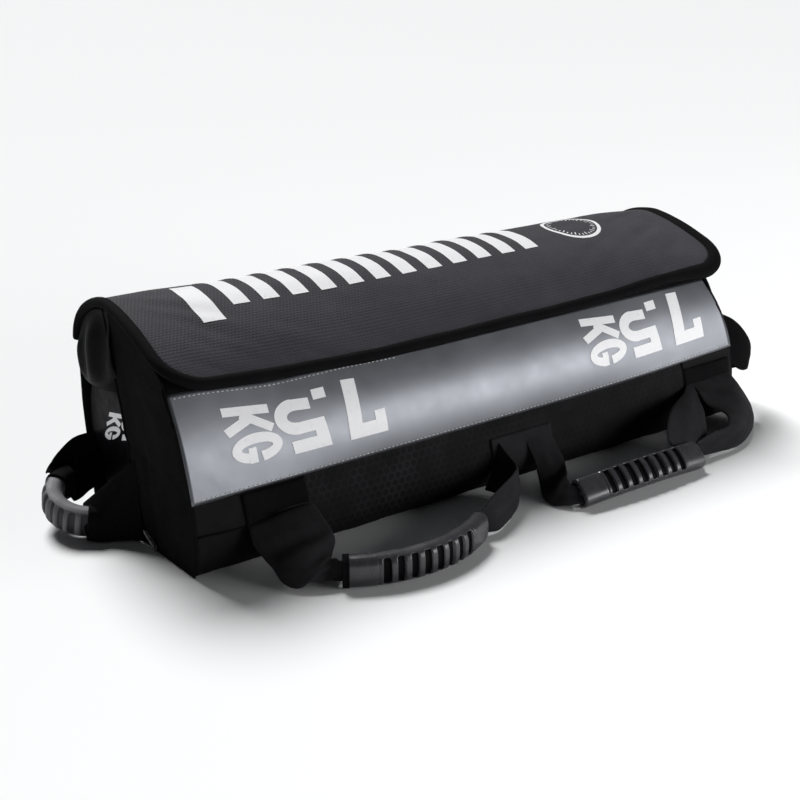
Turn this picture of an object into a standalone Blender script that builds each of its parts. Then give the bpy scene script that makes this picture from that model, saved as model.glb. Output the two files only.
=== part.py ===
"""Sandbag trainer: a cloth jacket with a closing lid round a weight core, and four
carrying handles whose straps run through moulded rubber grips.

Metres, +Z up, +X along the bag, -Y to the front. The origin is the middle of the
flat base. Every drawn section of the jacket lies in the YZ plane and is listed
clockwise, so that its outward side is always on the left of its direction.
"""
from math import asin, ceil, cos, hypot, pi, sin, tau

import bmesh
import bpy
from mathutils import Matrix, Vector
from mathutils.geometry import interpolate_bezier

# Jacket section
bag_length = 0.6266
front_foot = 0.100
rear_foot = 0.092
corner_radius = 0.012
wrap_height = 0.038
label_foot_height = 0.066
label_foot_setback = 0.012
label_head_height = 0.1435
label_head_setback = 0.042
label_bow = 0.0025
rear_reach = 0.103
lid_hinge_height = 0.150
left_ridge_height = 0.206
right_ridge_height = 0.191
ridge_reach = 0.044
lid_front_height = 0.155
lid_front_setback = 0.0365
lid_brow_reach = 0.013
lid_brow_rise = 0.014

# Cloth, seams and clearances
cloth = 0.0025
seam_gap = 0.0003
merge_distance = 0.00001
hinge_gap = 0.0011
end_panel_thickness = 0.0025
patch_thickness = 0.002

# Lid
lid_thickness = 0.007
lid_corner = 0.034
lid_overhang_step = 0.0028
piping_radius = 0.0053
brow_gap = 0.0008
lid_drop = 0.003

# Closure strips
strip_thickness = 0.0015
hook_start = 0.010
hook_width = 0.025
closure_inset = 0.022
flap_start = 0.006
flap_width = 0.038

# Weight core
core_radius = 0.083
core_edge_radius = 0.010
disc_thickness = 0.003
disc_edge_radius = 0.0012
core_back_clearance = 0.0008

# End panels, folds and the side tab
hem_top_reach = 0.046
hem_middle_reach = 0.021
hem_middle_height = 0.123
hem_corner_reach = 0.009
hem_corner_height = 0.075
hem_foot_reach = 0.004
fold_thickness = 0.010
fold_edge_radius = 0.003
fold_low_height = 0.123
fold_tip_height = 0.138
fold_low_reach = 0.084
tab_length = 0.030
tab_width = 0.008
tab_thickness = 0.0008
tab_reach = 0.040
tab_height = 0.004
tab_slope_share = 0.32

# Straps and their sewn anchors
strap_thickness = 0.0025
floor_clearance = 0.0004
fold_line_height = 0.046
anchor_low_height = 0.016
anchor_width = 0.067
left_anchor_place = -0.2345
right_anchor_place = 0.2765
middle_anchor_place = 0.027
middle_anchor_width = 0.074
middle_anchor_height = 0.050
middle_left_root = 0.001
middle_right_root = 0.060

# Moulded grips
grip_width = 0.027
grip_thickness = 0.018
grip_roundness = 2.8
front_grip_length = 0.150
end_grip_length = 0.092
left_grip_bend_radius = 0.125
right_grip_bend_radius = 0.600
end_grip_bend_radius = 0.0315
slot_count = 8
slot_width = 0.0068
slot_depth = 0.0028
front_slot_pitch = 0.0125
end_slot_pitch = 0.0115
slot_reach = 0.0185
pad_rise = 0.0006
pad_width = 0.0225
pad_shift = 0.0012
bore_width = 0.0214
bore_height = 0.0044
neck_width = 0.0182

# Where the front grips lie on the floor
left_grip_place = -0.153
right_grip_place = 0.108
front_grip_reach = 0.0725
left_grip_height = 0.0139
right_grip_height = 0.0129
right_grip_lean = 0.78

# Where the end grips lie, measured from the end of the bag
end_grip_reach = 0.022
end_grip_place = 0.057
end_grip_height = 0.0235
end_grip_rise = 0.016
end_grip_run = 0.0605
left_fold_height = 0.0750
right_fold_height = 0.1075
rear_fold_height = 0.069
right_wing_place = 0.082

# Facets
curve_steps = 20
arc_steps = 5
core_steps = 40
grip_section_steps = 20
bore_section_steps = 12
leg_steps = 4
overrun = 0.004
grip_facet = 0.0155
grip_facet_turn = pi / 14
front_exit_count = 1
end_exit_count = 2

# Sheets leave and reach the grips through these rungs, in shares of the run from
# the seam to the grip, of the reach and of the height of the fold line
left_far_shares = ((0.0, 0.0, 1.0), (0.03, 0.14, 0.80), (0.10, 0.42, 0.42), (0.09, 0.70, 0.08),
                   (0.30, 0.88, 0.03), (0.70, 0.93, 0.03))
left_near_shares = ((0.0, 0.0, 1.0), (0.06, 0.14, 0.99), (0.18, 0.42, 0.98), (0.45, 0.70, 0.94),
                    (0.75, 0.86, 0.82), (0.97, 0.95, 0.66))
right_far_shares = ((0.0, 0.0, 1.0), (0.02, 0.16, 0.85), (0.07, 0.42, 0.45), (0.14, 0.70, 0.10),
                    (0.40, 0.90, 0.03), (0.72, 0.98, 0.03))
right_near_shares = ((0.0, 0.0, 1.0), (0.02, 0.16, 0.99), (0.06, 0.42, 0.98), (0.22, 0.70, 0.94),
                     (0.50, 0.90, 0.82), (0.76, 0.98, 0.62))
# Middle legs: run, reach, height of the lower edge, height of the upper edge
left_leg_shares = ((0.0, 0.0, 0.30, 1.0), (0.20, 0.34, 0.12, 0.98), (0.38, 0.72, 0.04, 0.96),
                   (0.52, 0.97, 0.03, 0.93), (0.70, 1.09, 0.03, 0.82), (0.87, 1.05, 0.03, 0.64))
right_leg_shares = ((0.0, 0.0, 0.30, 1.0), (0.70, 0.32, 0.12, 0.98), (1.45, 0.66, 0.04, 0.92),
                    (1.93, 0.90, 0.03, 0.80), (1.85, 1.05, 0.03, 0.64), (1.42, 1.06, 0.03, 0.50))
# End wings: outward, from the seam's place to the grip's, and height of the upper edge,
# then the same of the lower edge, in shares of the grip's reach, that run and the fold
left_wing_shares = ((0.0, 0.0, 1.0, 0.0, 0.0, 0.03), (0.24, 0.22, 0.80, 0.22, 0.23, 0.03),
                    (0.46, 0.50, 0.60, 0.44, 0.50, 0.05))
right_wing_shares = ((0.0, 0.0, 1.0, 0.0, 0.0, 0.46), (0.45, -0.03, 0.92, 1.22, -0.05, 0.46),
                     (1.05, 0.25, 0.77, 1.75, 0.31, 0.34), (0.95, 0.64, 0.52, 1.25, 0.66, 0.12),
                     (0.52, 0.86, 0.33, 0.58, 0.87, 0.05))
rear_wing_shares = ((0.0, 0.0, 1.0, 0.0, 0.0, 0.18), (0.26, 0.10, 0.90, 0.26, 0.10, 0.17),
                    (0.46, 0.45, 0.78, 0.46, 0.45, 0.20))

# Places worked out from the sizes above
half_length = bag_length / 2
end_face = half_length + seam_gap + end_panel_thickness
sewing_gap = seam_gap + strap_thickness / 2
root_gap = seam_gap + strap_thickness / 4


def material(name, colour, roughness, metallic=0.0):
    """One Principled material for a sub-part."""
    made = bpy.data.materials.new(name)
    made.use_nodes = True
    shader = made.node_tree.nodes["Principled BSDF"]
    shader.inputs["Base Color"].default_value = (*colour, 1.0)
    shader.inputs["Roughness"].default_value = roughness
    shader.inputs["Metallic"].default_value = metallic
    made.diffuse_color = (*colour, 1.0)
    return made


def add_object(name, data, look=None, home=None):
    """Link one named object into the part's collection, or into another."""
    made = bpy.data.objects.new(name, data)
    (home or part).objects.link(made)
    if look:
        data.materials.append(look)
    return made


def add_cutter(name, mesh):
    """A shape that cuts or joins its neighbour and isn't a piece itself."""
    made = add_object(name, mesh, home=cutters)
    made.display_type = 'WIRE'
    made.hide_render = True
    return made


def hinge(name, place):
    """An empty on a joint's axis, which carries the pieces that turn about it."""
    made = bpy.data.objects.new(name, None)
    made.location = place
    part.objects.link(made)
    return made


def carry(piece, empty):
    """Parent a piece to its hinge without moving it."""
    piece.parent = empty
    piece.matrix_parent_inverse = Matrix.Translation(empty.location).inverted()


def smooth(mesh, angle=pi / 5):
    """Smooth shading that keeps the hard edges."""
    mesh.shade_smooth()
    mesh.set_sharp_from_angle(angle=angle)


def to_mesh(name, bm):
    """Close a bmesh into a mesh whose faces point outward."""
    bmesh.ops.recalc_face_normals(bm, faces=bm.faces[:])
    mesh = bpy.data.meshes.new(name)
    bm.to_mesh(mesh)
    bm.free()
    return mesh


def mapped_grid(name, columns, rows, place):
    """A grid whose corners are moved to place(column, row)."""
    bm = bmesh.new()
    bmesh.ops.create_grid(bm, x_segments=columns, y_segments=rows, size=1)
    for vert in bm.verts:
        column = round((vert.co.x + 1) / 2 * columns)
        row = round((vert.co.y + 1) / 2 * rows)
        vert.co = place(column, row)
    mesh = bpy.data.meshes.new(name)
    bm.to_mesh(mesh)
    bm.free()
    return mesh


def thicken(piece, thickness, offset):
    """Give a sheet its thickness, with offset -1 behind it and 0 on both sides."""
    shell = piece.modifiers.new("thickness", 'SOLIDIFY')
    shell.thickness = thickness
    shell.offset = offset
    shell.use_even_offset = True
    return shell


def arc(centre, radius, start, end, steps=arc_steps):
    """Points of an arc in the section plane."""
    turn = (end - start) / steps
    return [Vector((centre[0] + radius * cos(start + turn * i), centre[1] + radius * sin(start + turn * i)))
            for i in range(steps + 1)]


def bowed(start, end, bow, steps=curve_steps // 2):
    """A nearly straight line that bows outward, to the left of its direction."""
    start, end = Vector(start), Vector(end)
    along = (end - start).normalized()
    outward = Vector((-along.y, along.x))
    return [start.lerp(end, i / steps) + outward * bow * sin(pi * i / steps) for i in range(steps + 1)]


def bezier(start, first_handle, last_handle, end, steps=curve_steps):
    """A cubic curve in the section plane."""
    points = [Vector((*p, 0.0)) for p in (start, first_handle, last_handle, end)]
    return [p.to_2d() for p in interpolate_bezier(*points, steps)]


def shifted(line, distance):
    """The line moved outward by a distance, measured square to it."""
    moved = []
    for i, point in enumerate(line):
        along = (line[min(i + 1, len(line) - 1)] - line[max(i - 1, 0)]).normalized()
        moved.append(point + Vector((-along.y, along.x)) * distance)
    return moved


def lengths(line):
    """Running length of a line at each of its points."""
    total = [0.0]
    for before, after in zip(line, line[1:]):
        total.append(total[-1] + (after - before).length)
    return total


def point_at(line, distance):
    """The point at a running length, on the tangent beyond either end."""
    runs = lengths(line)
    i = 1
    while i < len(line) - 1 and runs[i] < distance:
        i += 1
    share = (distance - runs[i - 1]) / (runs[i] - runs[i - 1])
    return line[i - 1].lerp(line[i], share) if 0 <= share <= 1 else line[i - 1] + (line[i] - line[i - 1]) * share


def beside(line, distance, lift):
    """The point at a running length, moved outward by a lift."""
    along = (point_at(line, distance + seam_gap) - point_at(line, distance - seam_gap)).normalized()
    return point_at(line, distance) + Vector((-along.y, along.x)) * lift


def stretch(line, start, end, steps=curve_steps // 2):
    """The part of a line between two running lengths."""
    return [point_at(line, start + (end - start) * i / steps) for i in range(steps + 1)]


def front_y(height):
    """Front face of the jacket below the label."""
    rise = (height - corner_radius) / (label_foot_height - corner_radius)
    return -front_foot + label_foot_setback * rise


def rear_y(height):
    """Back face of the jacket, which leans out over the core."""
    rise = (height - corner_radius) / (lid_hinge_height - corner_radius)
    return rear_foot + (rear_reach - rear_foot) * sin(pi / 2 * rise)


def rear_line(top, bottom, steps=curve_steps // 2):
    """The back face from one height down to another."""
    heights = [top + (bottom - top) * i / steps for i in range(steps + 1)]
    return [Vector((rear_y(h), h)) for h in heights]


def base_line():
    """The base cloth, from its turned-up rear edge round to its front edge."""
    rear = rear_line(wrap_height, corner_radius, arc_steps)
    rear_corner = arc((rear_foot - corner_radius, corner_radius), corner_radius, 0.0, -pi / 2)
    front_corner = arc((-front_foot + corner_radius, corner_radius), corner_radius, -pi / 2, -pi)
    return rear[:-1] + rear_corner + front_corner + [Vector((front_y(wrap_height), wrap_height))]


def label_line(clearance=0.0):
    """The label panel, from its foot to its head."""
    foot = (front_y(label_foot_height + clearance), label_foot_height + clearance)
    head = (-front_foot + label_head_setback, label_head_height)
    return bowed(foot, head, label_bow)


def lid_line(x):
    """Outer face of the closed lid, from its front edge over the ridge to the hinge.

    The filled core sags to the right, so the ridge falls evenly from end to end.
    """
    along = (x + half_length) / bag_length
    front = (-front_foot + lid_front_setback, lid_front_height)
    ridge = (ridge_reach, left_ridge_height + (right_ridge_height - left_ridge_height) * along)
    rear = (rear_reach, lid_hinge_height + hinge_gap)
    rise, run = ridge[1] - front[1], ridge[0] - front[0]
    fall, back = ridge[1] - rear[1], rear[0] - ridge[0]
    slope = bezier(front, (front[0] + lid_brow_reach, front[1] + lid_brow_rise),
                   (ridge[0] - run * 0.37, ridge[1] - rise * 0.055), ridge)
    shoulder = bezier(ridge, (ridge[0] + back * 0.45, ridge[1] - fall * 0.04), (rear[0], rear[1] + fall * 0.62),
                      rear)
    return slope[:-1] + shoulder


def outline_object(name, outline, low, high, look, home=None):
    """A flat outline in the YZ plane, as thick as from low to high along X."""
    curve = bpy.data.curves.new(name, 'CURVE')
    curve.dimensions = '2D'
    curve.fill_mode = 'BOTH'
    curve.extrude = (high - low) / 2
    spline = curve.splines.new('POLY')
    spline.points.add(len(outline) - 1)
    for point, place in zip(spline.points, outline):
        point.co = (place[0], place[1], 0.0, 1.0)
    spline.use_cyclic_u = True
    made = add_object(name, curve, look, home)
    made.location.x = (low + high) / 2
    made.rotation_euler = (pi / 2, 0.0, pi / 2)
    return made


def sheet(name, line, thickness, low, high, look, lift=0.0):
    """A cloth panel behind a section line, or standing off it by a lift."""
    outline = shifted(line, lift) + shifted(line, lift - thickness)[::-1]
    return outline_object(name, outline, low, high, look)


def lofted_sheet(name, left, right, thickness, low, high, look):
    """A cloth strip between two unlike section lines, thick behind them."""
    ends = (left, right)

    def place(column, row):
        return Vector(((low, high)[column], *ends[column][row]))

    strip = add_object(name, mapped_grid(name, 1, len(left) - 1, place), look)
    thicken(strip, thickness, -1)
    return strip


def build_jacket():
    """Base, front, label, mouth and back of the cloth tube."""
    sheet("base_panel", base_line(), cloth, -half_length, half_length, black_cloth)
    front_low, front_high = wrap_height + seam_gap, label_foot_height
    front = [Vector((front_y(front_low), front_low)), Vector((front_y(front_high), front_high))]
    sheet("front_panel", front, cloth, -half_length, half_length, hexagon_cloth)
    sheet("label_panel", label_line(seam_gap), cloth, -half_length, half_length, grey_vinyl)
    rear = rear_line(lid_hinge_height, wrap_height + seam_gap)
    sheet("back_panel", rear, cloth, -half_length, half_length, black_cloth)


def build_closure():
    """The tuck flap behind the label's head, with the two closing strips."""
    hook_depth = lid_thickness + seam_gap
    loop_depth = hook_depth + strip_thickness + seam_gap
    flap_depth = loop_depth + strip_thickness + seam_gap
    head = label_line()[-1]

    def flap(x):
        line = stretch(shifted(lid_line(x), -flap_depth), flap_start, flap_start + flap_width)
        along = (line[0] - head).normalized()
        return [head + along * (seam_gap + cloth * 0.75)] + line

    def strip(x, depth):
        return shifted(stretch(lid_line(x), hook_start, hook_start + hook_width), -depth)

    lofted_sheet("mouth_flap", flap(-half_length), flap(half_length), cloth, -half_length, half_length, black_cloth)
    low, high = -half_length + closure_inset, half_length - closure_inset
    hook = lofted_sheet("hook_strip", strip(low, hook_depth), strip(high, hook_depth), strip_thickness, low, high,
                        hook_tape)
    lofted_sheet("loop_strip", strip(low, loop_depth), strip(high, loop_depth), strip_thickness, low, high,
                 loop_tape)
    carry(hook, lid_hinge)


def lid_half_width(run):
    """Half the lid's length at a running length from its front edge."""
    full = half_length - lid_overhang_step
    if run >= lid_corner:
        return full
    return full - lid_corner + (lid_corner ** 2 - (lid_corner - max(run, 0.0)) ** 2) ** 0.5


def build_lid():
    """The padded lid with round front corners, and the piping round three sides."""
    full = half_length - lid_overhang_step
    corner_rows = arc_steps + 1
    rest = curve_steps - corner_rows
    inner = full - lid_corner * 1.2

    def place(column, row):
        turn = pi / 2 * row / corner_rows
        corner_run = lid_corner * (1 - cos(turn)) if row < corner_rows else lid_corner
        width = lid_half_width(corner_run)
        x = (-width, -inner, 0.0, inner, width)[column]
        line = lid_line(x)
        past = max(row - corner_rows, 0) / rest
        return Vector((x, *point_at(line, corner_run + (lengths(line)[-1] - lid_corner) * past)))

    mesh = mapped_grid("lid_panel", 4, curve_steps, place)
    lid = add_object("lid_panel", mesh, lid_cloth)
    thicken(lid, lid_thickness, -1)
    carry(lid, lid_hinge)
    build_piping(full)


def build_piping(full):
    """A rolled binding along the lid's sides and front edge."""
    out = seam_gap + piping_radius + brow_gap
    corner_steps = 2 * arc_steps
    corner = [(full - lid_corner + (lid_corner + out) * cos(pi / 2 * i / corner_steps),
               lid_corner - (lid_corner + out) * sin(pi / 2 * i / corner_steps)) for i in range(corner_steps + 1)]
    route = []
    for side in (-1, 1):
        total = lengths(lid_line(side * (full + out)))[-1]
        reach = total - piping_radius - lid_corner
        run_down = [(side * (full + out), total - piping_radius - reach * i / curve_steps)
                    for i in range(curve_steps)]
        half_route = run_down + [(side * x, run) for x, run in corner]
        route += half_route if side < 0 else half_route[::-1]
    curve = bpy.data.curves.new("lid_piping", 'CURVE')
    curve.dimensions = '3D'
    curve.bevel_depth = piping_radius
    curve.bevel_resolution = 2
    curve.use_fill_caps = True
    spline = curve.splines.new('POLY')
    spline.points.add(len(route) - 1)
    for point, (x, run) in zip(spline.points, route):
        point.co = (x, *beside(lid_line(x), run, -lid_thickness / 2), 1.0)
    carry(add_object("lid_piping", curve, binding_cloth), lid_hinge)


def turned(name, profile, look):
    """A body turned about the X axis from a profile of radius and place along it."""
    bm = bmesh.new()
    verts = [bm.verts.new((radius, 0.0, place)) for radius, place in profile]
    for before, after in zip(verts, verts[1:]):
        bm.edges.new((before, after))
    mesh = bpy.data.meshes.new(name)
    bm.to_mesh(mesh)
    bm.free()
    made = add_object(name, mesh, look)
    turn = made.modifiers.new("turn", 'SCREW')
    turn.axis = 'Z'
    turn.angle = tau
    turn.steps = core_steps
    turn.render_steps = core_steps
    turn.use_merge_vertices = True
    turn.merge_threshold = merge_distance
    turn.use_smooth_shade = True
    made.location = (0.0, core_y, core_z)
    made.rotation_euler = (0.0, pi / 2, 0.0)
    return made


def disc_profile(low, high, radius, edge):
    """A flat round body with rolled edges, from its far face to its near one."""
    rolled = [(radius - edge + p.x, high - edge + p.y) for p in arc((0, 0), edge, pi / 2, 0.0, 3)]
    rolled += [(radius - edge + p.x, low + edge + p.y) for p in arc((0, 0), edge, 0.0, -pi / 2, 3)]
    return [(0.0, high)] + rolled + [(0.0, low)]


def build_core():
    """The filled weight core: its drum of cloth and the two printed end discs."""
    drum = half_length - disc_thickness - seam_gap
    turned("core_drum", disc_profile(-drum, drum, core_radius, core_edge_radius), core_cloth)
    reach = core_radius - core_edge_radius / 4
    turned("core_disc_right", disc_profile(drum + seam_gap, half_length, reach, disc_edge_radius), core_vinyl)
    turned("core_disc_left", disc_profile(-half_length, -drum - seam_gap, reach, disc_edge_radius), core_vinyl)


def hem_line(x):
    """Free edge of an end panel, from under the lid down to the fold line."""
    top_y = hem_top_reach
    under = shifted(lid_line(x), -lid_thickness - lid_drop)
    top_z = min(under, key=lambda p: abs(p.x - top_y)).y
    upper = bezier((top_y, top_z), (top_y - (top_y - hem_middle_reach) * 0.5, (top_z + hem_middle_height) / 2),
                   (hem_middle_reach, hem_middle_height + (top_z - hem_middle_height) / 4),
                   (hem_middle_reach, hem_middle_height), curve_steps // 2)
    lower = bowed((hem_middle_reach, hem_middle_height), (hem_corner_reach, hem_corner_height), 0.0, arc_steps)
    return upper + lower[1:]


def end_outline(x):
    """The front half of the bag's end, drawn from the floor round to the hem."""
    front_corner = arc((-front_foot + corner_radius, corner_radius), corner_radius, -pi / 2, -pi)
    label = label_line()
    hem = hem_line(x)
    under = shifted(lid_line(x), -lid_thickness - lid_drop)
    top = [p for p in under if label[-1].x < p.x < hem[0].x - corner_radius / 4]
    return [Vector((-hem_foot_reach, 0.0))] + front_corner + label + top + hem


def fold_outline(x):
    """The bellows fold that closes the rear top of the end above the core."""
    under = shifted(lid_line(x), -lid_thickness - lid_drop)
    hem = shifted(hem_line(x), seam_gap)
    top = [p for p in under if p.x > hem[0].x + corner_radius / 4 and p.y > lid_hinge_height + corner_radius]
    front = [p for p in hem if p.y > fold_tip_height]
    rear = Vector((fold_low_reach, fold_low_height))
    low = bezier(rear, rear.lerp(front[-1], 1 / 3) - Vector((0.0, fold_edge_radius)),
                 rear.lerp(front[-1], 2 / 3) - Vector((0.0, fold_edge_radius)), front[-1], curve_steps // 2)
    return top + low[:-1] + front[::-1]


def build_ends():
    """End panels, bellows folds and the folded tab on the left end."""
    for side, word in ((-1, "left"), (1, "right")):
        outline = end_outline(side * half_length)
        fold = fold_outline(side * half_length)
        inner, outer = sorted((side * (half_length + seam_gap), side * end_face))
        outline_object("end_panel_" + word, outline, inner, outer, black_cloth)
        near, far = sorted((side * (half_length + seam_gap), side * (half_length + seam_gap + fold_thickness)))
        piece = outline_object("end_fold_" + word, fold, near, far, core_cloth)
        weld = piece.modifiers.new("weld", 'WELD')
        weld.merge_threshold = merge_distance
        bevel = piece.modifiers.new("soft edge", 'BEVEL')
        bevel.width = fold_edge_radius
        bevel.segments = 2
        bevel.limit_method = 'ANGLE'
        bevel.angle_limit = pi / 3
    rise = tab_length * tab_slope_share
    corners = ((-tab_reach, tab_height), (-tab_reach + tab_length, tab_height + rise),
               (-tab_reach + tab_length, tab_height + rise + tab_width), (-tab_reach, tab_height + tab_width))
    tab_face = -end_face - seam_gap
    outline_object("side_tab", [Vector(c) for c in corners], tab_face - tab_thickness, tab_face, tab_cloth)


def front_strip(low, high):
    """A stretch of the front face between two heights."""
    return [Vector((front_y(low), low)), Vector((front_y(high), high))]


def build_anchors():
    """The sewn patches that the front straps leave from."""
    lift = seam_gap + patch_thickness
    places = (("anchor_left", left_anchor_place, anchor_width, label_foot_height - seam_gap),
              ("anchor_middle", middle_anchor_place, middle_anchor_width, middle_anchor_height),
              ("anchor_right", right_anchor_place, anchor_width, label_foot_height - seam_gap))
    for name, centre, width, top in places:
        low, high = centre - width / 2, centre + width / 2
        sheet(name, front_strip(anchor_low_height, top), patch_thickness, low, high, webbing, lift)


def anchor_face(height):
    """Where a strap's root stands, just off the patches' outer face."""
    lean = hypot(label_foot_setback, label_foot_height - corner_radius) / (label_foot_height - corner_radius)
    return front_y(height) - (seam_gap + patch_thickness + sewing_gap) * lean


def superellipse(width, height, roundness, steps, shift=0.0):
    """Section of a moulded grip as pairs of thickness and width."""
    points = []
    for i in range(steps):
        turn = tau * i / steps
        out = abs(cos(turn)) ** (2 / roundness) * (1 if cos(turn) >= 0 else -1)
        up = abs(sin(turn)) ** (2 / roundness) * (1 if sin(turn) >= 0 else -1)
        points.append((shift + height / 2 * out, width / 2 * up))
    return points


def swept(name, section, radius, start, end, steps):
    """A section spun about the bend's centre, from one angle to another."""
    bm = bmesh.new()
    across = Vector((sin(start), cos(start), 0.0))
    verts = [bm.verts.new(across * (radius + out) + Vector((0.0, 0.0, up))) for out, up in section]
    face = bm.faces.new(verts)
    geometry = verts + list(face.edges) + [face]
    bmesh.ops.spin(bm, geom=geometry, cent=(0, 0, 0), axis=(0, 0, 1), dvec=(0, 0, 0), angle=start - end,
                   steps=steps, use_duplicate=False)
    return to_mesh(name, bm)


def slot_cutters(name, radius, pitch):
    """Eight round-ended slots in a row across the outer face."""
    face = radius + grip_thickness / 2 + pad_rise
    bm = bmesh.new()
    for i in range(slot_count):
        turn = (i - (slot_count - 1) / 2) * pitch / face
        cut = bmesh.ops.create_cube(bm, size=1)["verts"]
        tall = slot_depth + overrun
        bmesh.ops.scale(bm, vec=(slot_width, tall, slot_reach), verts=cut)
        rounded = [e for e in {e for v in cut for e in v.link_edges}
                   if abs(e.verts[0].co.y - e.verts[1].co.y) > tall / 2]
        made = bmesh.ops.bevel(bm, geom=rounded, offset=slot_width * 0.45, segments=3, profile=0.5, affect='EDGES')
        cut = list({v for f in made["faces"] for v in f.verts})
        place = Matrix.Rotation(-turn, 4, 'Z') @ Matrix.Translation((0.0, face - slot_depth + tall / 2, 0.0))
        bmesh.ops.transform(bm, matrix=place, verts=cut)
    return to_mesh(name, bm)


def bend_half_angle(length, radius):
    """Half the angle that a grip's middle line turns through."""
    return length / radius / 2


def grip_frame(middle, run, bulge, half_angle, radius):
    """The grip's own axes: X from mouth to mouth, Y out of the bend, Z across."""
    along = Vector(run).normalized()
    out = Vector(bulge)
    out = (out - along * out.dot(along)).normalized()
    across = along.cross(out)
    centre = Vector(middle) - out * radius * cos(half_angle)
    frame = Matrix((along, out, across)).transposed().to_4x4()
    frame.translation = centre
    return frame


def build_grip(name, length, radius, pitch, exit_count, frame, empty):
    """A moulded sleeve with a raised field of slots and a flat bore for the strap.

    The bore's rings lie half a step off the sleeve's, so that none is in a mouth's plane.
    It returns the turns of the strap's rungs, which follow the bore's rings.
    """
    half = bend_half_angle(length, radius)
    steps = max(ceil(length / grip_facet), ceil(2 * half / grip_facet_turn))
    turn = 2 * half / steps
    sleeve = superellipse(grip_width, grip_thickness, grip_roundness, grip_section_steps)
    grip = add_object(name, swept(name, sleeve, radius, -half, half, steps), rubber)
    pad = superellipse(pad_width, grip_thickness - 2 * pad_shift + 2 * pad_rise, grip_roundness,
                       grip_section_steps, pad_shift)
    field = slot_count * pitch / (radius + grip_thickness / 2) / 2
    bore = superellipse(bore_width, bore_height, 2 * grip_roundness, bore_section_steps)
    tools = ((name + "_pad", swept(name + "_pad", pad, radius, -field, field, steps), 'UNION'),
             (name + "_slots", slot_cutters(name + "_slots", radius, pitch), 'DIFFERENCE'),
             (name + "_bore", swept(name + "_bore", bore, radius, -half - turn * 1.5, half + turn * 1.5, steps + 3),
              'DIFFERENCE'))
    carry(grip, empty)
    grip.matrix_basis = frame
    for tool_name, mesh, operation in tools:
        tool = add_cutter(tool_name, mesh)
        tool.matrix_basis = frame
        carry(tool, empty)
        join = grip.modifiers.new(tool_name, 'BOOLEAN')
        join.object = tool
        join.operation = operation
        join.solver = 'EXACT'
    first = -half + turn / 2 - turn * exit_count
    return [first + turn * i for i in range(steps + 2 * exit_count)]


def grip_rungs(frame, radius, turns):
    """Left and right edges of the strap where it runs inside the grip."""
    rungs = []
    for turn in turns:
        middle = Vector((radius * sin(turn), radius * cos(turn), 0.0))
        side = Vector((0.0, 0.0, neck_width / 2))
        rungs.append((frame @ (middle - side), frame @ (middle + side)))
    return rungs


def eased(rungs, ghost, steps=leg_steps):
    """A smooth run of rungs through the given ones, heading for a ghost rung."""
    full = [rungs[0]] + list(rungs) + [ghost]
    made = []
    for k in range(1, len(full) - 2):
        before, here, after, beyond = full[k - 1:k + 3]
        for i in range(steps):
            t = i / steps
            made.append(tuple(0.5 * ((2 * here[e]) + (after[e] - before[e]) * t
                                     + (2 * before[e] - 5 * here[e] + 4 * after[e] - beyond[e]) * t ** 2
                                     + (3 * here[e] - before[e] - 3 * after[e] + beyond[e]) * t ** 3)
                              for e in (0, 1)))
    return made


def lower_first(rung):
    """A rung with its lower edge first."""
    return rung if rung[0].z <= rung[1].z else (rung[1], rung[0])


def build_strap(name, first_leg, inside, last_leg, empty, look):
    """One strap: out from its first seam, through the grip and back to its last seam."""
    inside = [lower_first(rung) for rung in inside]
    start = eased(first_leg + [inside[0]], inside[1])
    end = eased(last_leg + [inside[-1]], inside[-2])
    rungs = start + inside + end[::-1]

    def place(column, row):
        return rungs[row][column]

    strap = add_object(name, mapped_grid(name, 1, len(rungs) - 1, place), look)
    thicken(strap, strap_thickness, 0)
    carry(strap, empty)
    return strap


def lobe_leg(far_x, near_x, mouth, far_shares, near_shares):
    """A wide band that falls from the seam to the floor and turns on edge to a mouth."""
    root_y = anchor_face(fold_line_height)
    low = floor_clearance + strap_thickness / 2

    def spot(root_x, goal, shares):
        run, reach, rise = shares
        return Vector((root_x + (goal.x - root_x) * run, root_y + (goal.y - root_y) * reach,
                       low + (fold_line_height - low) * rise))

    return [(spot(far_x, mouth[0], far), spot(near_x, mouth[1], near))
            for far, near in zip(far_shares, near_shares)]


def middle_leg(root_x, mouth, table):
    """A narrow strap that stands on edge between the middle patch and a mouth."""
    middle = (mouth[0] + mouth[1]) / 2
    low = floor_clearance + strap_thickness / 2
    rungs = []
    for run, reach, lower, upper in table:
        edges = []
        for rise in (lower, upper):
            height = low + (fold_line_height - low) * rise
            root_y = anchor_face(height)
            x = root_x + (middle.x - root_x) * run
            edges.append(Vector((x, root_y + (middle.y - root_y) * reach, height)))
        rungs.append(tuple(edges))
    return rungs


def build_front_handle(word, place, height, radius, bulge, legs, empty):
    """A front handle lying on the floor before the bag."""
    half = bend_half_angle(front_grip_length, radius)
    middle = (place, -front_foot - front_grip_reach, height)
    frame = grip_frame(middle, (1, 0, 0), bulge, half, radius)
    turns = build_grip("grip_front_" + word, front_grip_length, radius, front_slot_pitch, front_exit_count,
                       frame, empty)
    inside = grip_rungs(frame, radius, turns)
    first, last = legs(lower_first(inside[0]), lower_first(inside[-1]))
    build_strap("strap_front_" + word, first, inside, last, empty, webbing)


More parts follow.
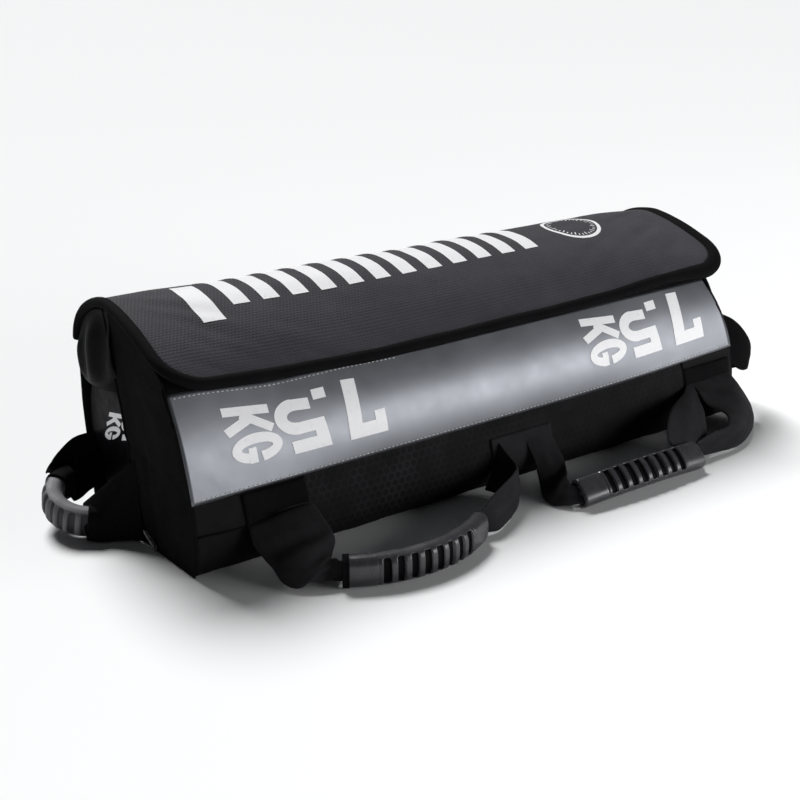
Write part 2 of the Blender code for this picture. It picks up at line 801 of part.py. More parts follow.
def build_front_handles():
    """The two front handles share the middle patch."""
    half_band = anchor_width / 2

    def left_legs(first, last):
        return (lobe_leg(left_anchor_place - half_band, left_anchor_place + half_band, first,
                         left_far_shares, left_near_shares),
                middle_leg(middle_left_root, last, left_leg_shares))

    def right_legs(first, last):
        return (middle_leg(middle_right_root, first, right_leg_shares),
                lobe_leg(right_anchor_place + half_band, right_anchor_place - half_band, last,
                         right_far_shares, right_near_shares))

    build_front_handle("left", left_grip_place, left_grip_height, left_grip_bend_radius, (0, -1, 0),
                       left_legs, front_left_hinge)
    build_front_handle("right", right_grip_place, right_grip_height, right_grip_bend_radius,
                       (0, -cos(right_grip_lean), sin(right_grip_lean)), right_legs, front_right_hinge)


def wing(side, table, root_x, roots, goal_y, height):
    """Rungs of an end wing, from its seam on the bag's end towards a mouth."""
    low_y, top_y = roots
    rungs = []
    for out_top, run_top, rise_top, out_low, run_low, rise_low in table:
        top = Vector((side * (root_x + end_grip_reach * out_top), top_y + (goal_y - top_y) * run_top,
                      height * rise_top))
        low = Vector((side * (root_x + end_grip_reach * out_low), low_y + (goal_y - low_y) * run_low,
                      max(height * rise_low, floor_clearance + strap_thickness / 2)))
        rungs.append((low, top))
    return rungs


def build_end_handle(side, word, table, front_roots, fold_height, empty):
    """An end handle: a wing of cloth, the bent grip and the rear wing."""
    half = bend_half_angle(end_grip_length, end_grip_bend_radius)
    middle = (side * (end_face + end_grip_reach), end_grip_place, end_grip_height)
    run = (0.0, end_grip_run, end_grip_rise)
    frame = grip_frame(middle, run, (side, 0, 0), half, end_grip_bend_radius)
    turns = build_grip("grip_end_" + word, end_grip_length, end_grip_bend_radius, end_slot_pitch, end_exit_count,
                       frame, empty)
    inside = grip_rungs(frame, end_grip_bend_radius, turns)
    low_rise = rear_wing_shares[0][-1]
    rear_roots = (rear_y(rear_fold_height * low_rise) - cloth / 2, rear_y(rear_fold_height) - cloth / 2)
    front = wing(side, table, end_face + root_gap, front_roots, inside[0][0].y, fold_height)
    rear = wing(side, rear_wing_shares, half_length + root_gap, rear_roots, inside[-1][0].y, rear_fold_height)
    build_strap("strap_end_" + word, front, inside, rear, empty, black_cloth)


# A clean scene with one collection for the pieces and one for the cutters
for old in list(bpy.data.objects):
    bpy.data.objects.remove(old, do_unlink=True)
part = bpy.data.collections.new("sandbag_trainer")
cutters = bpy.data.collections.new("cutters")
bpy.context.scene.collection.children.link(part)
bpy.context.scene.collection.children.link(cutters)

black_cloth = material("black_cloth", (0.012, 0.012, 0.013), 0.82)
hexagon_cloth = material("hexagon_cloth", (0.014, 0.014, 0.015), 0.70)
lid_cloth = material("lid_cloth", (0.042, 0.040, 0.045), 0.75)
binding_cloth = material("binding_cloth", (0.014, 0.014, 0.016), 0.80)
grey_vinyl = material("grey_vinyl", (0.30, 0.31, 0.33), 0.38)
core_cloth = material("core_cloth", (0.022, 0.022, 0.024), 0.60)
core_vinyl = material("core_vinyl", (0.018, 0.018, 0.021), 0.45)
webbing = material("webbing", (0.010, 0.010, 0.011), 0.85)
rubber = material("rubber", (0.055, 0.055, 0.060), 0.48)
hook_tape = material("hook_tape", (0.008, 0.008, 0.008), 0.90)
loop_tape = material("loop_tape", (0.010, 0.010, 0.010), 0.95)
tab_cloth = material("tab_cloth", (0.62, 0.62, 0.63), 0.70)

core_z = cloth + seam_gap + core_radius
core_y = rear_y(core_z) - cloth - core_back_clearance - core_radius
fold_y = anchor_face(fold_line_height)
fold_z = fold_line_height + sewing_gap

lid_hinge = hinge("lid_hinge", (0.0, rear_reach + seam_gap, lid_hinge_height + hinge_gap / 2))
front_left_hinge = hinge("front_left_hinge", (left_grip_place, fold_y, fold_z))
front_right_hinge = hinge("front_right_hinge", (right_grip_place, fold_y, fold_z))
left_end_hinge = hinge("left_end_hinge", (-end_face - seam_gap, end_grip_place, left_fold_height + seam_gap))
right_end_hinge = hinge("right_end_hinge", (end_face + seam_gap, end_grip_place, right_fold_height + seam_gap))

build_jacket()
build_closure()
build_lid()
build_core()
build_ends()
build_anchors()
build_front_handles()
build_end_handle(-1, "left", left_wing_shares, (-hem_foot_reach, hem_corner_reach), left_fold_height,
                 left_end_hinge)
build_end_handle(1, "right", right_wing_shares, (-right_wing_place, -right_wing_place), right_fold_height,
                 right_end_hinge)

for piece in part.objects:
    if piece.type == 'MESH':
        smooth(piece.data)
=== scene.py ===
# %% [markdown]
# # A sandbag trainer, dressed for its picture
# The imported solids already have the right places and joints. Here every piece of cloth gets its real
# form: panels that bow over a filled tube, a padded lid, webbing that bends, and moulded rubber grips.
# Each object stays in metres in the frame of the solids, so nothing has to be fitted afterwards.

# %% Load the frame
from bisect import bisect_right
from functools import lru_cache
from math import atan2, cos, hypot, pi, sin, sqrt, tau
import bmesh
import bpy
from mathutils import Matrix, Vector, noise
from mathutils.bvhtree import BVHTree
from mathutils.geometry import interpolate_bezier


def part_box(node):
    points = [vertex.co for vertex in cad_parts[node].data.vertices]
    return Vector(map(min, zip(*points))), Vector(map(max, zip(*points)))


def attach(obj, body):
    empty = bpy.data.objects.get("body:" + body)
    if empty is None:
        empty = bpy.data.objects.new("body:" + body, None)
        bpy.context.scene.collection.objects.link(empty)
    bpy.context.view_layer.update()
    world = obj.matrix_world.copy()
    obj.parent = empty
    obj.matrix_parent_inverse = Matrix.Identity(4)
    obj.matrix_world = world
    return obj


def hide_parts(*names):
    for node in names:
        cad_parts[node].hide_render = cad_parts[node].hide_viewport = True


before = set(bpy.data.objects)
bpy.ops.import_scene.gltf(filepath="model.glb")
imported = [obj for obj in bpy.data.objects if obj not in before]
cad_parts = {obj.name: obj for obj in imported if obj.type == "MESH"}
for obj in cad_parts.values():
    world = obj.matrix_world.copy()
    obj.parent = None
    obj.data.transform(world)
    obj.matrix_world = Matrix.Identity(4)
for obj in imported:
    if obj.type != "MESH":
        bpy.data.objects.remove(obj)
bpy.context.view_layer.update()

# %% [markdown]
# ## The bag's section
# Seen from its end, the bag is one closed line: floor, front, leaning label, lid, back. The real one is
# cut from flat panels, so a point is easiest to name by how far it lies along that line, as a tape
# measure on the cloth would give it. A `Line` does that, and it also knows which way is outward.

# %% A line that is measured by running length
class Line:
    """A line in the section plane, with its points found by running length."""

    def __init__(self, points):
        self.points = [Vector(p) for p in points]
        self.runs = [0.0]
        for before, after in zip(self.points, self.points[1:]):
            self.runs.append(self.runs[-1] + (after - before).length)
        self.length = self.runs[-1]

    def spot(self, run):
        i = min(max(bisect_right(self.runs, run), 1), len(self.points) - 1)
        before, after = self.points[i - 1], self.points[i]
        return before + (after - before) * (run - self.runs[i - 1]) / (self.runs[i] - self.runs[i - 1])

    def at(self, run, lift=0.0):
        along = (self.spot(run + 0.002) - self.spot(run - 0.002)).normalized()
        return self.spot(run) + Vector((-along.y, along.x)) * lift


def bend(start, first, last, end, steps=48):
    """Points of a cubic curve in the section plane."""
    knots = [Vector((*q, 0)) for q in (start, first, last, end)]
    return [Vector(p[:2]) for p in interpolate_bezier(*knots, steps)]


def ease(low, high, value):
    """0 before low, 1 after high, and a soft step between."""
    t = min(max((value - low) / (high - low), 0.0), 1.0)
    return t * t * (3 - 2 * t)


def ripple(x, y, size, seed):
    """Soft unevenness of cloth between -1 and 1, about size metres from crest to crest."""
    return noise.noise(Vector((x / size, y / size, seed * 7.31)))


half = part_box("base_panel")[1].x
print("the jacket is %.0f mm long" % (half * 2000))

# %% [markdown]
# ## The lines of this bag
# The filled core sags to one end, so the ridge is lower at the right. The lid's front edge also dips in
# the middle, where nothing holds it up, and lifts at the left corner. All of it goes into the line for
# one place along the bag, and every piece of the lid then follows the same line.

# %% Section lines of the lid, the label, the front and the back
ridge_left, ridge_right = 0.2058, 0.1906


def foot_rise(x):
    """How far the label's foot climbs towards the right end."""
    return 0.009 * (max(x - 0.05, 0.0) / 0.263) ** 2


def lean(height):
    """How far the right end leans in at a height, because the filling has sunk there."""
    return 0.013 * min(max((height - 0.064) / 0.0785, 0.0), 1.0) ** 1.5


@lru_cache(maxsize=4096)
def lid_line(x):
    """Outer face of the shut lid at a place along the bag, from the front edge to the hinge."""
    along = (x + half) / (2 * half)
    dip = 0.0048 * ease(-0.25, -0.10, x) * (1 - ease(0.10, 0.26, x))
    lift = 0.0055 * (1 - ease(-0.31, -0.215, x)) + 0.001 * ease(0.25, 0.31, x)
    wave = 0.0009 * ripple(x, 0.3, 0.07, 1)
    droop = 0.004 * ease(0.26, 0.33, x)
    front = Vector((-0.0640 - 0.0010 * dip / 0.0048, 0.1550 - dip + lift + wave - droop))
    ridge_wave = 0.0007 * ripple(x, 0.8, 0.12, 2)
    ridge = Vector((0.044, ridge_left + (ridge_right - ridge_left) * along - droop + ridge_wave))
    rear = Vector((0.1033, 0.1511))
    slope = bend(front, front + Vector((0.0120, 0.0142)),
                 (ridge.x - (ridge.x - front.x) * 0.37, ridge.y - (ridge.y - front.y) * 0.050), ridge)
    back = bend(ridge, (ridge.x + 0.0267, ridge.y - (ridge.y - rear.y) * 0.04),
                (rear.x, rear.y + (ridge.y - rear.y) * 0.62), rear)
    return Line(slope[:-1] + back)


@lru_cache(maxsize=4096)
def label_line(x):
    """Outer face of the printed label, from its foot to its head under the lid."""
    head_z = 0.1425 + 0.0075 * (1 - ease(-0.31, -0.20, x)) - 0.0030 * ease(-0.16, -0.05, x)
    foot = Vector((-0.0893 - 0.12 * foot_rise(x), 0.0640 + foot_rise(x)))
    head = Vector((-0.0884 + 0.0304 * (head_z - 0.0655) / 0.078, head_z))
    middle = ease(-0.27, -0.12, x) * (1 - ease(0.10, 0.27, x))
    bow = 0.0042 + 0.0026 * middle + 0.0013 * ripple(x, 0.1, 0.16, 3) + 0.0006 * ripple(x, 0.6, 0.05, 4)
    out = Vector((-(head - foot).y, (head - foot).x)).normalized()
    full = [sin(pi * (i / 40) ** (1.0 - 0.12 * middle)) * bow for i in range(41)]
    return Line([foot.lerp(head, i / 40) + out * full[i] for i in range(41)])


@lru_cache(maxsize=4096)
def front_line(x):
    """From under the label, down the front, under the base and up the back to its seam."""
    puff = 0.0035 * (1 - ease(0.27, 0.3133, abs(x)))
    tuck = 0.004 * ease(0.285, 0.3133, abs(x))
    rise = foot_rise(x)
    front = bend((-0.0880 - 0.12 * rise, 0.0665 + rise), (-0.0945 - puff, 0.052),
                 (-0.1005 - puff + tuck, 0.020), (-0.0975 + tuck, 0.010), 30)
    turn = bend((-0.0975 + tuck, 0.010), (-0.0960 + tuck, 0.004), (-0.091, 0.0006), (-0.082, 0.0006), 14)
    rear = bend((0.082, 0.0006), (0.090, 0.0006), (0.0935, 0.010), (0.0955, 0.0383), 24)
    return Line(front[:-1] + turn + rear)


@lru_cache(maxsize=4096)
def back_line(x):
    """From the base's rear seam up to the lid's hinge."""
    bow = 0.0024 + 0.001 * ripple(x, 0.1, 0.09, 5)
    foot, head = Vector((0.0955, 0.0383)), Vector((0.1031, 0.1500))
    out = Vector(((head - foot).y, -(head - foot).x)).normalized()
    return Line([foot.lerp(head, i / 30) + out * bow * sin(pi * i / 30) for i in range(31)])


def key(x):
    return round(x, 4)


print("lid %.0f mm from edge to hinge, label %.0f mm high"
      % (lid_line(0.0).length * 1000, label_line(0.0).length * 1000))

# %% [markdown]
# ## Cutting a sheet
# A real panel is flat cloth that is bent into place. So each one starts as `create_grid`, which also
# gives it an even UV map, and its corners are moved to where the cloth lies. The UV map is then scaled
# to real metres, and a weave drawn on it keeps its true size and follows the folds.

# %% Helpers that cut a sheet and close it into cloth
def keep(name, bm, look, body, slot_name=None, flip=False):
    """Make an object of a bmesh, at the origin, riding on a body."""
    if flip:
        bmesh.ops.reverse_faces(bm, faces=bm.faces[:])
    mesh = bpy.data.meshes.new(name)
    bm.to_mesh(mesh)
    bm.free()
    mesh.shade_smooth()
    for one in (look if isinstance(look, (list, tuple)) else [look]):
        mesh.materials.append(one)
    piece = bpy.data.objects.new(name, mesh)
    bpy.context.scene.collection.objects.link(piece)
    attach(piece, body)
    return piece


def grid(columns, rows, place, size, wrinkle=None):
    """A grid with place(u, v) for its corners and a UV map in metres."""
    bm = bmesh.new()
    uv = bm.loops.layers.uv.new("cloth")
    bmesh.ops.create_grid(bm, x_segments=columns, y_segments=rows, size=0.5, calc_uvs=True)
    for face in bm.faces:
        for loop in face.loops:
            loop[uv].uv = (loop[uv].uv.x * size[0], loop[uv].uv.y * size[1])
    spots = {v: (v.co.x + 0.5, v.co.y + 0.5) for v in bm.verts}
    for vert, (u, v) in spots.items():
        vert.co = place(u, v)
    if wrinkle:
        bm.normal_update()
        moves = {v: v.normal * wrinkle(*spots[v]) for v in bm.verts}
        for vert, move in moves.items():
            vert.co += move
    return bm


def thicken(piece, thickness, offset=-1):
    """Give a sheet its thickness with a live Solidify."""
    wall = piece.modifiers.new("cloth", 'SOLIDIFY')
    wall.thickness = thickness
    wall.offset = offset
    return piece


def refine(piece, levels=1):
    """Subdivide a finished piece, the same in the viewport and the render."""
    finer = piece.modifiers.new("finer", 'SUBSURF')
    finer.levels = finer.render_levels = levels
    return piece


print("helpers for sheets are ready")

# %% [markdown]
# ## Finishes from nodes
# Every finish is a Principled shader with a few nodes on it. `Finish` only shortens the wiring: `add`
# makes a node and plugs numbers or sockets into it. Patterns read the piece's own UV map in metres, or
# Object coordinates where a piece has been remeshed or moulded.

# %% A short way to wire a material
class Finish:
    """A Principled material with short calls for its nodes."""

    def __init__(self, name, colour, roughness, mapped=True, **sockets):
        self.made = bpy.data.materials.new(name)
        self.made.use_nodes = True
        self.made.diffuse_color = (*colour, 1.0)
        self.tree = self.made.node_tree
        self.shader = self.tree.nodes["Principled BSDF"]
        self.set("Base Color", (*colour, 1.0))
        self.set("Roughness", roughness)
        for socket, value in sockets.items():
            self.set(socket.replace("_", " "), value)
        if mapped:
            self.place = self.add("ShaderNodeUVMap", uv_map="cloth")
        else:
            self.place = self.tree.nodes.new("ShaderNodeTexCoord").outputs["Object"]
        self.colour = None
        self.normal = None

    def set(self, socket, value):
        self.shader.inputs[socket].default_value = value

    def add(self, kind, plugs=(), out=0, **settings):
        node = self.tree.nodes.new(kind)
        for setting, value in settings.items():
            setattr(node, setting, value)
        for socket, value in dict(plugs).items():
            if isinstance(value, bpy.types.NodeSocket):
                self.tree.links.new(value, node.inputs[socket])
            else:
                node.inputs[socket].default_value = value
        return node.outputs[out]

    def sum(self, operation, first, second=0.0, third=0.0):
        return self.add("ShaderNodeMath", {0: first, 1: second, 2: third}, operation=operation)

    def span(self, value, low, high, start=0.0, end=1.0):
        return self.add("ShaderNodeMapRange", {"Value": value, "From Min": low, "From Max": high,
                                               "To Min": start, "To Max": end})

    def stretched(self, x, y, z=1.0, turn=0.0):
        return self.add("ShaderNodeMapping", {"Vector": self.place, "Scale": (x, y, z),
                                              "Rotation": (0, 0, turn)})

    def noise(self, size, detail=3.0, rough=0.55, place=None):
        return self.add("ShaderNodeTexNoise", {"Vector": place or self.place, "Scale": 1 / size,
                                               "Detail": detail, "Roughness": rough})

    def blend(self, share, first, second):
        """Mix two colours; the first is where the share is 0."""
        node = self.tree.nodes.new("ShaderNodeMix")
        node.data_type = 'RGBA'
        for socket, value in ((0, share), (6, first), (7, second)):
            if isinstance(value, bpy.types.NodeSocket):
                self.tree.links.new(value, node.inputs[socket])
            else:
                node.inputs[socket].default_value = value if socket == 0 else (*value, 1.0)
        return node.outputs[2]

    def paint(self, colour):
        self.colour = colour
        self.tree.links.new(colour, self.shader.inputs["Base Color"])

    def gloss(self, value):
        self.tree.links.new(value, self.shader.inputs["Roughness"])

    def bump(self, height, distance, strength=1.0):
        plugs = {"Height": height, "Distance": distance, "Strength": strength}
        if self.normal:
            plugs["Normal"] = self.normal
        self.normal = self.add("ShaderNodeBump", plugs)
        self.tree.links.new(self.normal, self.shader.inputs["Normal"])


def weave(finish, pitch, depth, across=1.0):
    """The over and under of a plain weave, as a bump. It gives the height back for the colour."""
    threads = finish.add("ShaderNodeSeparateXYZ",
                         {0: finish.stretched(pi / pitch, pi / pitch / across)}, out=0)
    node = threads.node
    rows = finish.sum('SINE', node.outputs["X"])
    lines = finish.sum('SINE', node.outputs["Y"])
    height = finish.sum('MULTIPLY', rows, lines)
    finish.bump(height, depth)
    return height


def cells(finish, pitch, turn=0.0):
    """A honeycomb: 0 in the middle of a cell, 0.5 on the lines between cells."""
    place = finish.stretched(1 / pitch, 1 / pitch, 1 / pitch, turn)
    step = (0.5, sqrt(3) / 2, 0.5)
    back = tuple(-s for s in step)
    first = finish.add("ShaderNodeVectorMath", {0: place, 1: step, 2: back}, operation='WRAP')
    moved = finish.add("ShaderNodeVectorMath", {0: place, 1: (0.5, sqrt(3) / 2, 0.0)}, operation='SUBTRACT')
    second = finish.add("ShaderNodeVectorMath", {0: moved, 1: step, 2: back}, operation='WRAP')
    near = [finish.add("ShaderNodeVectorMath", {0: v}, out=1, operation='LENGTH') for v in (first, second)]
    pick = finish.sum('GREATER_THAN', near[0], near[1])
    mixed = finish.add("ShaderNodeMix", {0: pick, 4: first, 5: second}, out=1, data_type='VECTOR')
    flat = finish.add("ShaderNodeVectorMath", {0: mixed}, operation='ABSOLUTE')
    slant = finish.add("ShaderNodeVectorMath", {0: flat, 1: (0.5, sqrt(3) / 2, 0.0)}, out=1,
                       operation='DOT_PRODUCT')
    level = finish.add("ShaderNodeSeparateXYZ", {0: flat})
    return finish.sum('MAXIMUM', slant, level)


print("wiring helpers are ready")

# %% [markdown]
# ## The bag's cloths
# The jacket is a black polyester weave: nearly black, matt, with a faint sheen at a low angle. The front
# strip is the same cloth with a honeycomb woven in, whose lines stand up and catch the light; that light is
# painted into the lines as a lighter colour, with painted shade that makes them fainter to the right. The lid
# is a charcoal cloth with a small embossed honeycomb, its pits painted darker as painted shade. Each finish
# gets slow changes of tone as well, since real cloth is never one colour all over.

# %% Black cloth, honeycomb cloth and lid cloth
def black_weave(name, tone, rough=0.86, sheen=0.006, mapped=True, gleam=0.10):
    """Plain black cloth with a fine weave and slow changes of tone."""
    cloth = Finish(name, (tone, tone * 0.97, tone * 1.10), rough, mapped, Sheen_Weight=sheen,
                   Sheen_Roughness=0.45, Specular_IOR_Level=gleam)
    fibre = weave(cloth, 0.0009, 0.00012)
    clouds = cloth.noise(0.035, 4)
    tint = cloth.sum('ADD', cloth.sum('MULTIPLY', fibre, 0.12), cloth.span(clouds, 0.3, 0.7, 0.2, 0.8))
    dark, light = (tone * 0.62, tone * 0.60, tone * 0.70), (tone * 1.45, tone * 1.42, tone * 1.58)
    cloth.paint(cloth.blend(tint, dark, light))
    cloth.bump(cloth.noise(0.006, 3), 0.0005, 0.6)
    return cloth.made


def honeycomb_weave():
    """The front cloth: honeycomb between its two side seams, plain weave beyond them."""
    cloth = Finish("hexagon_cloth", (0.010, 0.010, 0.012), 0.70, Sheen_Weight=0.006, Specular_IOR_Level=0.12)
    level = cells(cloth, 0.0074)
    line = cloth.span(level, 0.30, 0.46)
    across = cloth.add("ShaderNodeSeparateXYZ", {0: cloth.place})
    inside = cloth.sum('MULTIPLY', cloth.sum('GREATER_THAN', across, half - 0.207),
                       cloth.sum('LESS_THAN', across, half + 0.243))
    line = cloth.sum('MULTIPLY', line, inside)
    # The lines are painted lighter than the cells, a painted highlight on the raised lines. From the middle
    # towards the right end they are painted fainter, a painted shade; random patches fade them as well.
    painted_shade_and_patches = cloth.sum('MULTIPLY', cloth.span(across, half - 0.12, half + 0.03, 1.0, 0.30),
                     cloth.span(cloth.noise(0.06, 2), 0.42, 0.58, 0.25, 1.0))
    fibre = weave(cloth, 0.0009, 0.0001)
    clouds = cloth.span(cloth.noise(0.03, 4), 0.3, 0.7, -0.1, 0.25)
    tint = cloth.sum('ADD', cloth.sum('MULTIPLY', cloth.sum('MULTIPLY', line, painted_shade_and_patches), 0.75),
                     cloth.sum('ADD', clouds, cloth.sum('MULTIPLY', fibre, 0.06)))
    cloth.paint(cloth.blend(tint, (0.0034, 0.0033, 0.0041), (0.0165, 0.016, 0.0185)))
    cloth.bump(line, 0.00030, 0.5)
    return cloth.made


def embossed_weave():
    """The lid's charcoal cloth with its small embossed cells."""
    cloth = Finish("lid_cloth", (0.055, 0.052, 0.062), 0.70, Sheen_Weight=0.03, Specular_IOR_Level=0.12)
    level = cells(cloth, 0.0034)
    pit = cloth.span(level, 0.12, 0.42, 0.0, 1.0)
    wear = cloth.noise(0.05, 5, 0.65)
    patchy = cloth.span(cloth.noise(0.11, 2), 0.38, 0.62, 0.25, 1.0)
    # The sunk middles of the cells are painted darker than their raised rims, a painted shade in the hollows,
    # patchy at random; wear adds random tone.
    tint = cloth.sum('ADD', cloth.sum('MULTIPLY', pit, cloth.sum('MULTIPLY', patchy, 0.42)),
                     cloth.span(wear, 0.3, 0.7, 0.10, 0.55))
    cloth.paint(cloth.blend(tint, (0.029, 0.0275, 0.034), (0.058, 0.0555, 0.066)))
    weave(cloth, 0.0011, 0.00008)
    cloth.bump(pit, 0.0004, 0.7)
    cloth.bump(cloth.noise(0.012, 3), 0.0006, 0.35)
    return cloth.made


black_cloth = black_weave("black_cloth", 0.0058, gleam=0.04)
core_cloth = black_weave("core_cloth", 0.0034, 0.50, 0.004, gleam=0.05)
core_cloth_plain = black_weave("core_cloth_plain", 0.0060, 0.44, 0.006, mapped=False, gleam=0.08)
binding_cloth = black_weave("binding_cloth", 0.0050, 0.80, 0.004, gleam=0.04)
hexagon_cloth = honeycomb_weave()
lid_cloth = embossed_weave()
print("cloths", black_cloth.name, core_cloth.name, binding_cloth.name, hexagon_cloth.name, lid_cloth.name)

# %% [markdown]
# ## Vinyl, ink, webbing, rubber and tapes
# The label is a coated vinyl that mirrors the light softly, so its roughness matters more than its
# colour. Ink lies on cloth as a thin white film with tiny flaws. Webbing has ribs along its length and a
# harder, drier look than the cloth, and the grips are moulded rubber with a fine spark-eroded grain.

# %% Grey vinyl, white ink and the core's dark vinyl
def grey_sheet():
    vinyl = Finish("grey_vinyl", (0.150, 0.156, 0.172), 0.38, Specular_IOR_Level=0.5, Metallic=0.75)
    clouds = vinyl.span(vinyl.noise(0.06, 3), 0.3, 0.7)
    vinyl.paint(vinyl.blend(clouds, (0.140, 0.146, 0.161), (0.160, 0.167, 0.184)))
    vinyl.gloss(vinyl.span(vinyl.noise(0.02, 4), 0.3, 0.7, 0.35, 0.41))
    vinyl.bump(vinyl.noise(0.05, 2), 0.0012, 0.15)
    vinyl.bump(vinyl.noise(0.0012, 2), 0.00005, 0.4)
    return vinyl.made


def white_ink():
    ink = Finish("white_ink", (0.92, 0.92, 0.94), 0.38, mapped=False)
    flaw = ink.span(ink.noise(0.004, 5, 0.7), 0.30, 0.42)
    ink.paint(ink.blend(flaw, (0.78, 0.78, 0.81), (0.93, 0.93, 0.95)))
    ink.bump(ink.noise(0.0012, 2), 0.00006, 0.6)
    return ink.made


def dark_sheet():
    vinyl = Finish("core_vinyl", (0.004, 0.004, 0.005), 0.50, mapped=False, Specular_IOR_Level=0.03)
    clouds = vinyl.span(vinyl.noise(0.04, 4), 0.3, 0.7)
    vinyl.paint(vinyl.blend(clouds, (0.0020, 0.0020, 0.0028), (0.0040, 0.0040, 0.0052)))
    vinyl.gloss(vinyl.span(vinyl.noise(0.015, 4), 0.3, 0.7, 0.34, 0.52))
    vinyl.bump(vinyl.noise(0.03, 3), 0.0012, 0.4)
    return vinyl.made


grey_vinyl, ink, core_vinyl = grey_sheet(), white_ink(), dark_sheet()
print("vinyls", grey_vinyl.name, core_vinyl.name, "and", ink.name)

# %% Webbing, thread, rubber and tapes
def ribbed_web(name, tone):
    """Webbing: ribs along it, with slanted floats across each rib."""
    band = Finish(name, (tone, tone, tone * 1.08), 0.84, Sheen_Weight=0.03, Specular_IOR_Level=0.12)
    ways = band.add("ShaderNodeSeparateXYZ", {0: band.stretched(tau / 0.0030, tau / 0.0016)})
    rib = band.sum('SINE', ways.node.outputs["X"])
    slant = band.sum('SINE', band.sum('ADD', ways.node.outputs["Y"], band.sum('MULTIPLY', rib, 1.5)))
    height = band.sum('ADD', band.sum('MULTIPLY', rib, 0.6), band.sum('MULTIPLY', slant, 0.4))
    clouds = band.span(band.noise(0.03, 4), 0.3, 0.7, 0.1, 0.7)
    tint = band.sum('ADD', clouds, band.sum('MULTIPLY', height, 0.08))
    band.paint(band.blend(tint, (tone * 0.55, tone * 0.54, tone * 0.62),
                          (tone * 1.6, tone * 1.58, tone * 1.75)))
    band.bump(height, 0.00018, 0.4)
    band.bump(band.noise(0.008, 3), 0.0006, 0.4)
    return band.made


def moulded(name, low, high, rough, gleam=0.5):
    """Moulded rubber with a fine grain, a little polished where hands have been."""
    rubber = Finish(name, high, rough, mapped=False, Specular_IOR_Level=gleam)
    rubber.paint(rubber.blend(rubber.span(rubber.noise(0.012, 5), 0.3, 0.7), low, high))
    rubber.gloss(rubber.span(rubber.noise(0.02, 3), 0.35, 0.65, rough - 0.05, rough + 0.08))
    rubber.bump(rubber.noise(0.0007, 2), 0.00006, 0.5)
    return rubber.made


def fuzzy(name, tone, size, depth):
    tape = Finish(name, (tone, tone, tone), 0.95, mapped=False, Sheen_Weight=0.06, Specular_IOR_Level=0.1)
    spots = tape.add("ShaderNodeTexVoronoi", {"Vector": tape.place, "Scale": 1 / size})
    tape.paint(tape.blend(tape.span(spots, 0.0, 0.6), (tone * 1.8,) * 3, (tone * 0.5,) * 3))
    tape.bump(spots, depth)
    return tape.made


def twisted(name, tone):
    yarn = Finish(name, (tone, tone, tone), 0.7, mapped=False, Sheen_Weight=0.05, Specular_IOR_Level=0.2)
    yarn.paint(yarn.blend(yarn.span(yarn.noise(0.004, 3), 0.35, 0.65), (tone * 0.8,) * 3, (tone * 1.15,) * 3))
    return yarn.made


webbing = ribbed_web("webbing", 0.0165)
rubber = moulded("rubber", (0.032, 0.031, 0.036), (0.045, 0.044, 0.050), 0.27)
# The slots' rubber is the grips' rubber painted nearly black: painted shade in the slots.
slot_painted_shade_rubber = moulded("slot_painted_shade_rubber", (0.0020, 0.0020, 0.0026), (0.0035, 0.0035, 0.0045), 0.60, gleam=0.06)
hook_tape, loop_tape = fuzzy("hook_tape", 0.012, 0.0014, 0.0006), fuzzy("loop_tape", 0.016, 0.0008, 0.0004)
tab_cloth = fuzzy("tab_cloth", 0.26, 0.0009, 0.00015)
black_thread, grey_thread = twisted("black_thread", 0.02), twisted("grey_thread", 0.62)
print("trims", webbing.name, rubber.name, hook_tape.name, loop_tape.name, grey_thread.name)

# %% [markdown]
# ## Front and base
# On the real bag one run of honeycomb cloth comes from under the label, rolls under the core and lies
# flat on the floor. The old two solids meet at a seam there, but a cloth that is rolled under shows no
# edge, so one sheet stands for both. Its corners at the ends are plain black, and have their own seam.

# %% The front and base sheet
def front_place(u, v):
    x = -half + 2 * half * u
    line = front_line(key(x))
    spot = line.at(line.length * v)
    return Vector((x, *spot))


def front_wrinkle(u, v):
    run, x = v * 0.295, u * 2 * half
    calm = 1 - ease(0.095, 0.11, run) * (1 - ease(0.255, 0.27, run))
    folds = 0.0011 * ripple(x, run * 2.4, 0.055, 6) + 0.0006 * ripple(x * 1.3, run, 0.021, 7)
    return folds * calm * ease(0.0, 0.012, run)


bm = grid(200, 72, front_place, (2 * half, 0.295), front_wrinkle)
for vert in bm.verts:
    vert.co.z = max(vert.co.z, 0.0004)
front_sheet = keep("front_and_base", bm, hexagon_cloth, "jacket", "hexagon_cloth", flip=True)
thicken(front_sheet, 0.0018)
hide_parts("base_panel", "front_panel")
print("front sheet", len(front_sheet.data.vertices), "points, run", round(front_line(0.0).length, 4))

# %% [markdown]
# ## The label
# A grey coated panel leans back over the core. It is stretched tight, but it bows out with the filling
# and has a few long soft waves, which is what bends its reflections. Its foot overlaps the front cloth.

# %% The label sheet and the cloth of the back
def label_spot(x, run, lift=0.0):
    return Vector((x, *label_line(key(x)).at(run, lift)))


def label_place(u, v):
    x = -half + (2 * half - 0.013 * v ** 1.5) * u
    return label_spot(x, label_line(key(x)).length * v)


bm = grid(180, 30, label_place, (2 * half, 0.0845))
label = keep("label", bm, grey_vinyl, "jacket", "grey_vinyl")
thicken(label, 0.0016)
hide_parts("label_panel")


def back_place(u, v):
    x = half - 2 * half * u
    line = back_line(key(x))
    return Vector((x, *line.at(line.length * v)))


bm = grid(140, 28, back_place, (2 * half, 0.113), lambda u, v: 0.0009 * ripple(u * 0.6, v * 0.2, 0.05, 8))
back_sheet = keep("back", bm, black_cloth, "jacket", "black_cloth")
thicken(back_sheet, 0.0018)
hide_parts("back_panel")
print("label and back sheets are in place")

